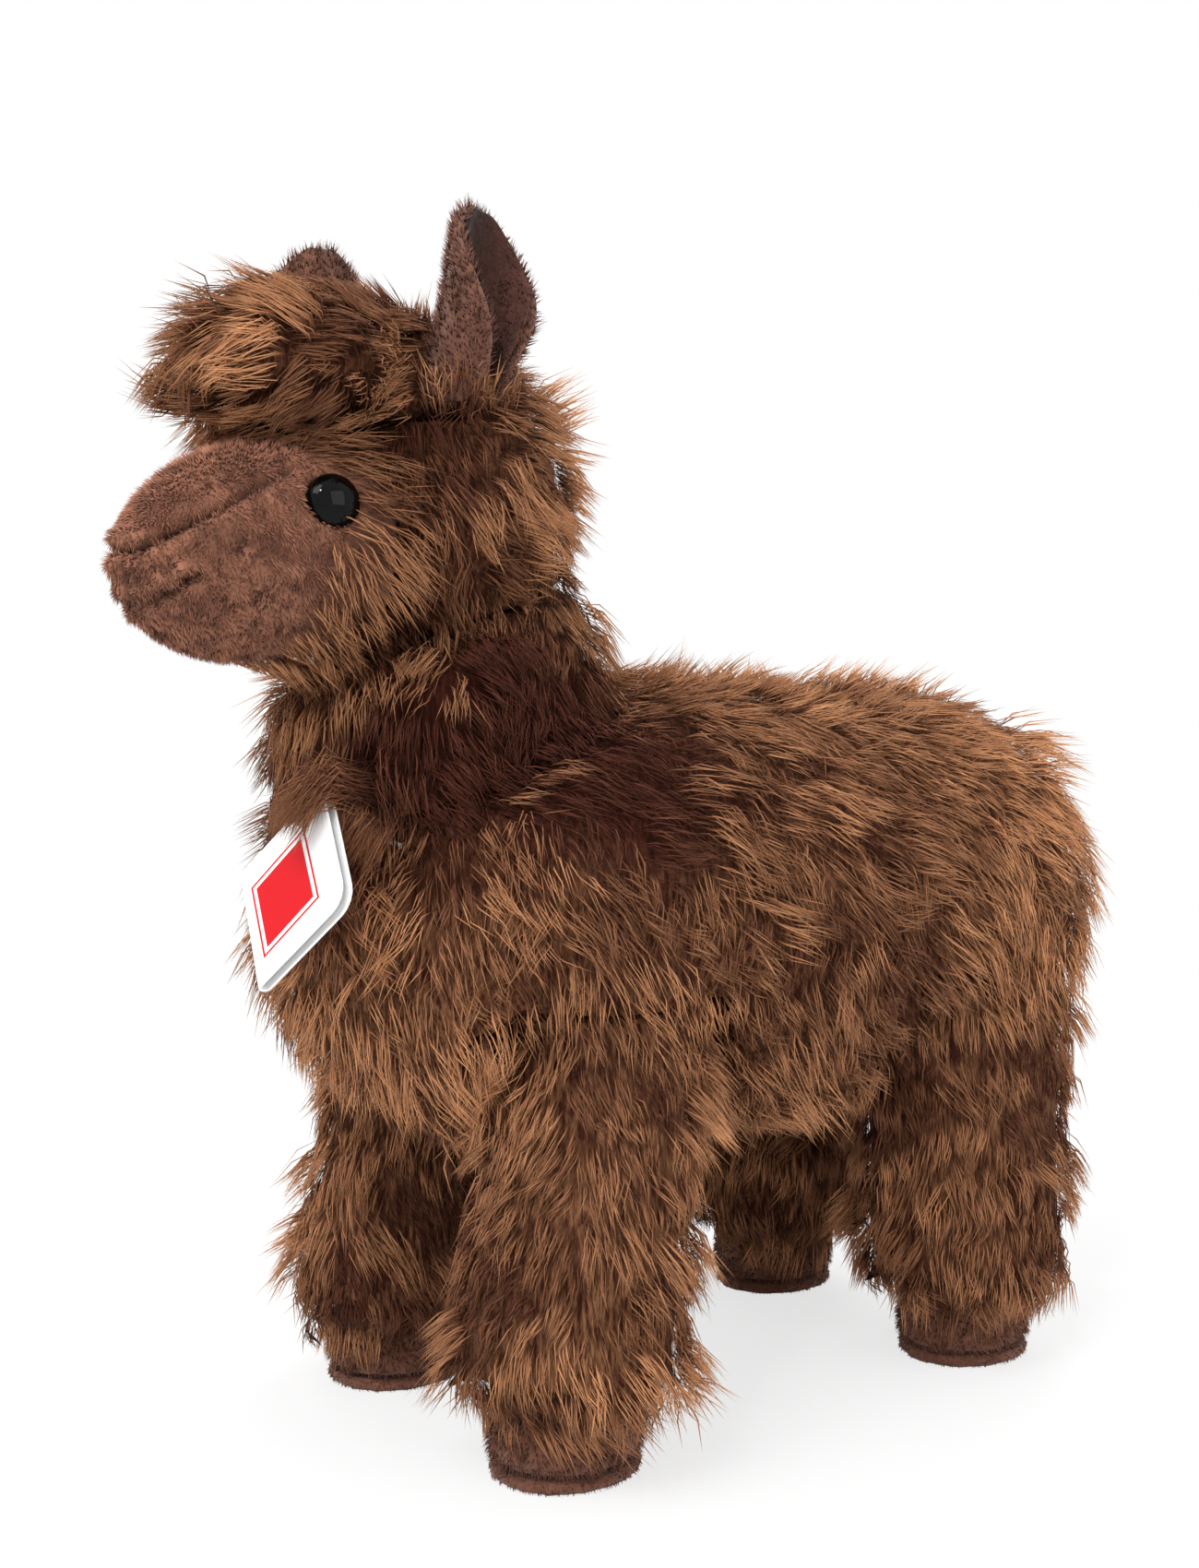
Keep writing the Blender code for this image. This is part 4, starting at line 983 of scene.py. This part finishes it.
class ALPACA_OT_muzzle(bpy.types.Operator):
    """Shape the short-pile muzzle with its seams and mouth"""
    bl_idname = "alpaca.muzzle"
    bl_label = "Muzzle"

    def execute(self, context):
        look = context.scene.alpaca_face
        muzzle = copy_of("muzzle", "muzzle_plush")
        finish_with(muzzle, "REMESH", mode="VOXEL", voxel_size=1.2 * MM)
        finish_with(muzzle, "SMOOTH", factor=0.5, iterations=6)
        finish_with(muzzle, "SUBSURF", levels=1, render_levels=1)
        mesh = muzzle.data
        points, normals = points_of(mesh), normals_of(mesh)
        skin = search_tree(points, triangles_of(mesh))
        push = np.full(len(points), -0.3 * MM)
        crease = np.zeros(len(points))
        # Each row: a seam's bend, its sides, the depth and width of its dent, and the strength of its painted
        # shade.
        for bend, sides, depth, width, dark in (
                (BRIDGE_SEAM, (1, -1), 1.7 * MM, 0.8 * MM, 1.0), (NOSE_CREASE, (1,), 2.2 * MM, 0.9 * MM, 1.0),
                (LIP_SEAM, (1,), 1.1 * MM, 0.9 * MM, 0.6), (MOUTH, (1, -1), 2.2 * MM, 0.8 * MM, 1.0)):
            for mirror in sides:
                line = seam_points(bend, mirror, skin)
                tree = point_tree(line)
                hits = [tree.find(Vector(p)) for p in points]
                gap = np.array([hit[2] for hit in hits])
                share = np.array([hit[1] for hit in hits]) / (len(line) - 1)
                fade = np.clip(1.15 - 0.75 * share, 0, 1) if bend is BRIDGE_SEAM else 1.0
                valley = hill(gap, width) * fade
                shoulder = hill(gap - 2.4 * MM, 1.3 * MM) * fade
                push += depth * (0.28 * shoulder - valley)
                # Painted shade: the pile darkens along each crease, on top of the real dent.
                crease = np.maximum(crease, hill(gap, 0.75 * width) * fade * dark)
        points = points + normals * push[:, None]
        set_points(mesh, points)
        keep_on(mesh, "crease", crease)
        parting = point_tree(points[crease > 0.4])

        def furred(places):
            clear = np.array([parting.find(Vector(place))[2] > 0.85 * MM for place in places])
            return clear & (behind_face(places) < 3 * MM)

        pick(muzzle)
        bpy.ops.object.shade_smooth()
        paint = short_pile_paint("muzzle_pile", tuple(look.muzzle), tuple(look.muzzle_shade), painted_shade_mask="crease")
        dress(muzzle, paint, ("muzzle",))
        strands = short_strand_finish("muzzle_strands", tuple(look.muzzle), tuple(look.muzzle_shade))
        # shade paints the muzzle's pile lighter towards the top and darker towards the chin: painted light
        # and shade.
        fuzz("muzzle_fuzz", muzzle, 5.0, 1.5 * MM, 0.28 * MM, strands, 41, 0.52, lie=1.2,
             where=furred, shade=lambda p: 0.16 * np.clip((p[:, 2] - 168 * MM) / (12 * MM), -1, 1))
        return {"FINISHED"}


class ALPACA_OT_ears(bpy.types.Operator):
    """Round the ears and line them"""
    bl_idname = "alpaca.ears"
    bl_label = "Ears"

    @staticmethod
    def fold_shadow_of(lining, back):
        """From 1 along the front edge of a lining, in the fold of its ear where the flap shades it, to 0 away
        from it: a painted shadow.
        """
        tree, _ = tree_of((back,))
        shares = []
        for point in map(Vector, points_of(lining.data)):
            place, _, _, distance = tree.find_nearest(point + Vector((0, -1.5, 0)) * MM)
            shares.append(hill(distance, 1.7 * MM) if place.y < point.y - 0.4 * MM else 0.0)
        return spread(np.array(shares), edges_of(lining.data), 3)

    def execute(self, context):
        look = context.scene.alpaca_face
        outer, inner = tuple(look.ear), tuple(look.lining)
        back = short_pile_paint("ear_pile", outer, tuple(c * 0.8 for c in outer))
        # The lining darkens along its fold: a painted shadow of the ear's flap.
        lining = short_pile_paint("ear_lining_plush", inner, tuple(c * 0.8 for c in inner), 0.7, painted_shade_mask="fold")
        strands = short_strand_finish("ear_strands", outer, tuple(c * 0.7 for c in outer))
        dark_strands = short_strand_finish("lining_strands", inner, tuple(c * 0.7 for c in inner))
        for names, finish, slot in ((EARS, back, "short_pile"), (LININGS, lining, "ear_lining")):
            for name in names:
                ear = copy_of(name, name + "_plush")
                bpy.ops.object.mode_set(mode="EDIT")
                bpy.ops.mesh.select_all(action="SELECT")
                bpy.ops.mesh.tris_convert_to_quads()
                bpy.ops.object.mode_set(mode="OBJECT")
                finish_with(ear, "SUBSURF", levels=2, render_levels=2)
                if name.endswith("left"):
                    places = points_of(ear.data)
                    places[:, 2] -= LEFT_EAR_DROP * ramp_up(places[:, 2], 205 * MM, 30 * MM) ** 1.5
                    set_points(ear.data, places)
                dress(ear, finish, (name,))
                if slot == "short_pile":
                    ear_tuft(name + "_tuft", ear, 520, 55)
                    fuzz(name + "_fuzz", ear, 2.8, 1.9 * MM, 0.28 * MM, strands, 51, 0.30,
                         flow=(0, 0, 1.0))
                else:
                    fold = self.fold_shadow_of(ear, name.replace("lining", "back"))
                    keep_on(ear.data, "fold", fold)
                    # No fuzz over the painted fold shadow, so that it stays in view.
                    fuzz(name + "_fuzz", ear, 1.7, 1.2 * MM, 0.26 * MM, dark_strands, 53, 0.40,
                         where=lambda p, ear=ear, fold=fold: fold[nearest(p, points_of(ear.data))] < 0.35,
                         flow=(0, 0, 1.0))
        return {"FINISHED"}


def ear_tuft(name, ear, count, seed):
    """Strands that stand round the foot of an ear, where it comes out of the long pile."""
    rng = np.random.default_rng(seed)
    points, normals = points_of(ear.data), normals_of(ear.data)
    low = points[:, 2].min()
    chosen = rng.choice(np.nonzero(points[:, 2] < low + 4.5 * MM)[0], count)
    out = unit(normals[chosen] * (1.0, 1.0, 0.2))
    start = points[chosen] + out * 0.4 * MM + rng.normal(0, 0.9 * MM, (count, 3)) - np.array((0, 0, 3.0)) * MM
    middle = start + out * 1.4 * MM + np.array((0, 0, 3.6)) * MM
    end = middle + out * rng.uniform(0.2, 2.0, count)[:, None] * MM + rng.normal(0, 1.2 * MM, (count, 3))
    end[:, 2] += rng.uniform(2.0, 5.0, count) * MM
    tones = 0.32 + 0.3 * wander(start, 0.006, seed) + rng.normal(0, 0.08, count)
    width = bpy.context.scene.alpaca_coat.width
    tuft = strand_mesh(name, np.stack((start, middle, end), axis=1), np.clip(tones, 0.03, 0.9), width, rng)
    dress(tuft, long_pile_finish())


class ALPACA_OT_feet(bpy.types.Operator):
    """Round the short-pile feet and their soles"""
    bl_idname = "alpaca.feet"
    bl_label = "Feet and soles"

    def execute(self, context):
        look = context.scene.alpaca_face
        pile = short_pile_paint("foot_pile", tuple(look.foot), tuple(c * 0.75 for c in look.foot))
        strands = short_strand_finish("foot_strands", tuple(look.foot), tuple(c * 0.7 for c in look.foot))
        for names, slot in ((FEET, "foot_pile"), (SOLES, "sole_cloth")):
            for name in names:
                foot = copy_of(name, name + "_plush")
                finish_with(foot, "REMESH", mode="VOXEL", voxel_size=1.4 * MM)
                finish_with(foot, "SMOOTH", factor=0.5, iterations=3)
                pick(foot)
                bpy.ops.object.shade_smooth()
                dress(foot, pile, (name,))
                fuzz(name + "_fuzz", foot, 2.3, 2.0 * MM, 0.30 * MM, strands, 61, 0.36, lie=1.2,
                     where=lambda p: (p[:, 2] > 0.4 * MM) & (p[:, 2] < 14 * MM))
        return {"FINISHED"}


def eye_place(node):
    """The matrix that puts +Z along an eye's axis, at the foot of its rim."""
    points = points_of(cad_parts[node].data)
    gaps = np.linalg.norm(points[:, None] - points[None], axis=2)
    a, b = np.unravel_index(gaps.argmax(), gaps.shape)
    middle = points.mean(axis=0)
    if np.linalg.norm(points[a] - middle) > np.linalg.norm(points[b] - middle):
        a, b = b, a
    top, end = Vector(points[a]), Vector(points[b])
    out = (top - end).normalized()
    foot = top - out * (EYE_DOME + EYE_RIM)
    return Matrix.Translation(foot) @ out.to_track_quat("Z", "Y").to_matrix().to_4x4()


class ALPACA_OT_eyes(bpy.types.Operator):
    """Turn the glossy domes of the safety eyes"""
    bl_idname = "alpaca.eyes"
    bl_label = "Eyes"

    def execute(self, context):
        paint = Paint("eye_black", Roughness=0.03, Specular_IOR_Level=0.14)
        speck = paint.noise(900.0, 2.0)
        black = paint.ramp(speck, (0.3, (0.001, 0.001, 0.001)), (0.7, (0.002, 0.002, 0.002)))
        paint.feed("Base Color", black)
        for name in ("eye_left", "eye_right"):
            bpy.ops.object.select_all(action="DESELECT")
            bpy.ops.mesh.primitive_uv_sphere_add(segments=48, ring_count=24, radius=EYE_RADIUS)
            eye = bpy.context.active_object
            eye.name = name + "_dome"
            bpy.ops.object.mode_set(mode="EDIT")
            bpy.ops.mesh.select_all(action="SELECT")
            bpy.ops.mesh.bisect(plane_co=(0, 0, 0), plane_no=(0, 0, 1), clear_inner=True, use_fill=False)
            bpy.ops.mesh.select_all(action="SELECT")
            bpy.ops.transform.resize(value=(1, 1, EYE_DOME / EYE_RADIUS), center_override=(0, 0, 0))
            bpy.ops.mesh.select_all(action="DESELECT")
            bpy.ops.object.mode_set(mode="OBJECT")
            for edge in eye.data.edges:
                edge.select = all(abs(eye.data.vertices[v].co.z) < 1e-6 for v in edge.vertices)
            bpy.ops.object.mode_set(mode="EDIT")
            bpy.ops.mesh.extrude_region_move(TRANSFORM_OT_translate={"value": (0, 0, -EYE_RIM)})
            bpy.ops.mesh.extrude_region_move(TRANSFORM_OT_translate={"value": (0, 0, 0)})
            waist = EYE_STEM_RADIUS / EYE_RADIUS
            bpy.ops.transform.resize(value=(waist, waist, 1), center_override=(0, 0, -EYE_RIM))
            bpy.ops.mesh.extrude_region_move(TRANSFORM_OT_translate={"value": (0, 0, -EYE_STEM)})
            bpy.ops.mesh.edge_face_add()
            bpy.ops.mesh.select_all(action="SELECT")
            bpy.ops.mesh.normals_make_consistent(inside=False)
            bpy.ops.object.mode_set(mode="OBJECT")
            bpy.ops.object.shade_smooth_by_angle(angle=math.radians(50))
            lift = Matrix.Translation((0, 0, EYE_RIM))
            eye.data.transform(eye_place(name) @ lift)
            dress(eye, paint.material, (name,))
        return {"FINISHED"}


class ALPACA_OT_tag(bpy.types.Operator):
    """Print the swing tag with a plain lozenge"""
    bl_idname = "alpaca.tag"
    bl_label = "Swing tag"

    def execute(self, context):
        look = context.scene.alpaca_tag
        card = Paint("coated_card", Roughness=0.45, Specular_IOR_Level=0.12)
        fibre = card.noise(2200.0, 3.0)
        base = card.mix(fibre, tuple(c * 0.97 for c in look.card), tuple(look.card))
        place = card.node("ShaderNodeSeparateXYZ", None, {0: card.place()})
        low, high = map(Vector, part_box("swing_tag"))
        out = 0.0
        for axis in (0, 2):
            along = Socket(card, place.link.node.outputs[axis])
            half = (high[axis] - low[axis]) / 2
            share = (along - (low[axis] + half)) / half
            out = card.node("ShaderNodeMath", {"operation": "ABSOLUTE"}, {0: share}) + out
        for start, end in LOZENGES:
            base = card.mix((out > start) * (out < end), base, tuple(look.lozenge))
        card.feed("Base Color", base)
        card.bump(fibre, 0.00003, 0.4)
        white = Paint("clear_nylon", Roughness=0.4)
        cloud = white.noise(700.0, 2.0)
        white.feed("Base Color", white.mix(cloud, (0.70, 0.70, 0.69), (0.82, 0.82, 0.81)))
        for name, paint in (("swing_tag", card), ("tag_tie", white), ("eye_washer_left", white),
                            ("eye_washer_right", white)):
            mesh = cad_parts[name].data
            mesh.materials.clear()
            mesh.materials.append(paint.material)
        return {"FINISHED"}


class ALPACA_OT_stage(bpy.types.Operator):
    """Set the floor, the soft lamps and the camera"""
    bl_idname = "alpaca.stage"
    bl_label = "Studio"

    def execute(self, context):
        scene, look = context.scene, context.scene.alpaca_stage
        bpy.ops.object.select_all(action="DESELECT")
        bpy.ops.mesh.primitive_plane_add(size=look.floor)
        floor = bpy.context.active_object
        floor.name = "studio_floor"
        paint = Paint("studio_white", Roughness=0.9, Specular_IOR_Level=0.0)
        grain = paint.noise(4.0, 2.0)
        paint.feed("Base Color", paint.mix(grain, (0.93, 0.93, 0.93), (0.95, 0.95, 0.95)))
        tree = paint.tree
        output = next(n for n in tree.nodes if n.type == "OUTPUT_MATERIAL")
        seen = paint.node("ShaderNodeLightPath", output="Is Camera Ray")
        glossy = paint.node("ShaderNodeLightPath", output="Is Glossy Ray")
        away = paint.node("ShaderNodeVectorMath", {"operation": "LENGTH"}, {0: paint.place()}, output=1)
        white = paint.ramp(away, (0.20, (0.70, 0.70, 0.70)), (0.75, (1, 1, 1)))
        shine = paint.node("ShaderNodeEmission", None, {"Color": (1, 1, 1, 1), "Strength": 1.0})
        lit = Socket(paint, paint.shader.outputs[0])
        both = paint.node("ShaderNodeMixShader", None, {0: (seen + glossy) * white, 1: lit, 2: shine})
        tree.links.new(both.link, output.inputs["Surface"])
        floor.data.materials.append(paint.material)
        world = bpy.data.worlds.new("studio")
        scene.world = world
        world.use_nodes = True
        sky = world.node_tree
        ground = next(n for n in sky.nodes if n.type == "BACKGROUND")
        path = sky.nodes.new("ShaderNodeLightPath")
        counted = path.outputs["Is Camera Ray"]
        for kind in ("Is Transmission Ray", "Is Glossy Ray"):
            either = sky.nodes.new("ShaderNodeMath")
            either.operation = "MAXIMUM"
            sky.links.new(counted, either.inputs[0])
            sky.links.new(path.outputs[kind], either.inputs[1])
            counted = either.outputs[0]
        level = sky.nodes.new("ShaderNodeMapRange")
        sky.links.new(counted, level.inputs["Value"])
        level.inputs["To Min"].default_value = look.daylight
        level.inputs["To Max"].default_value = 1.0
        sky.links.new(level.outputs[0], ground.inputs["Strength"])
        ground.inputs["Color"].default_value = (1, 1, 1, 1)
        for name, place, width, power in LAMPS:
            lamp = bpy.data.lights.new(name + "_lamp", "AREA")
            lamp.size = width
            lamp.energy = power
            obj = bpy.data.objects.new(name + "_lamp", lamp)
            scene.collection.objects.link(obj)
            obj.location = place
            aim = LAMP_AIM - Vector(place)
            obj.rotation_euler = aim.to_track_quat("-Z", "Y").to_euler()
        camera = bpy.data.cameras.new("camera")
        camera.lens = look.lens * 1000
        camera.sensor_width = 36.0
        camera.clip_start = 0.01
        obj = bpy.data.objects.new("camera", camera)
        scene.collection.objects.link(obj)
        obj.location = CAMERA_PLACE
        obj.rotation_euler = (math.pi / 2 - math.atan(HORIZON_RISE / FOCAL_POINTS), 0.0, CAMERA_TURN)
        scene.camera = obj
        scene.view_settings.view_transform = "Standard"
        return {"FINISHED"}


OPERATORS = (ALPACA_OT_stage, ALPACA_OT_backing, ALPACA_OT_body_coat, ALPACA_OT_head_coat,
             ALPACA_OT_leg_coats, ALPACA_OT_muzzle, ALPACA_OT_ears, ALPACA_OT_feet, ALPACA_OT_eyes,
             ALPACA_OT_tag)
SETTINGS = {"alpaca_coat": CoatSettings, "alpaca_face": FaceSettings, "alpaca_tag": TagSettings,
            "alpaca_stage": StageSettings}


class ALPACA_PT_finish(bpy.types.Panel):
    """Lists the settings and the steps"""
    bl_idname = "ALPACA_PT_finish"
    bl_label = "Plush alpaca"
    bl_space_type = "VIEW_3D"
    bl_region_type = "UI"
    bl_category = "Alpaca"

    def draw(self, context):
        for step in OPERATORS:
            self.layout.operator(step.bl_idname)
        for name in SETTINGS:
            box = self.layout.box()
            for key in SETTINGS[name].__annotations__:
                box.prop(getattr(context.scene, name), key)


def register():
    for name, group in SETTINGS.items():
        bpy.utils.register_class(group)
        setattr(bpy.types.Scene, name, bpy.props.PointerProperty(type=group))
    for item in OPERATORS + (ALPACA_PT_finish,):
        bpy.utils.register_class(item)


def unregister():
    for item in OPERATORS + (ALPACA_PT_finish,):
        bpy.utils.unregister_class(item)
    for name, group in SETTINGS.items():
        delattr(bpy.types.Scene, name)
        bpy.utils.unregister_class(group)


def main():
    register()
    for step in OPERATORS:
        group, name = step.bl_idname.split(".")
        getattr(getattr(bpy.ops, group), name)()
    if Skin.whole:
        bpy.data.objects.remove(Skin.whole.obj)


if __name__ == "__main__":
    main()
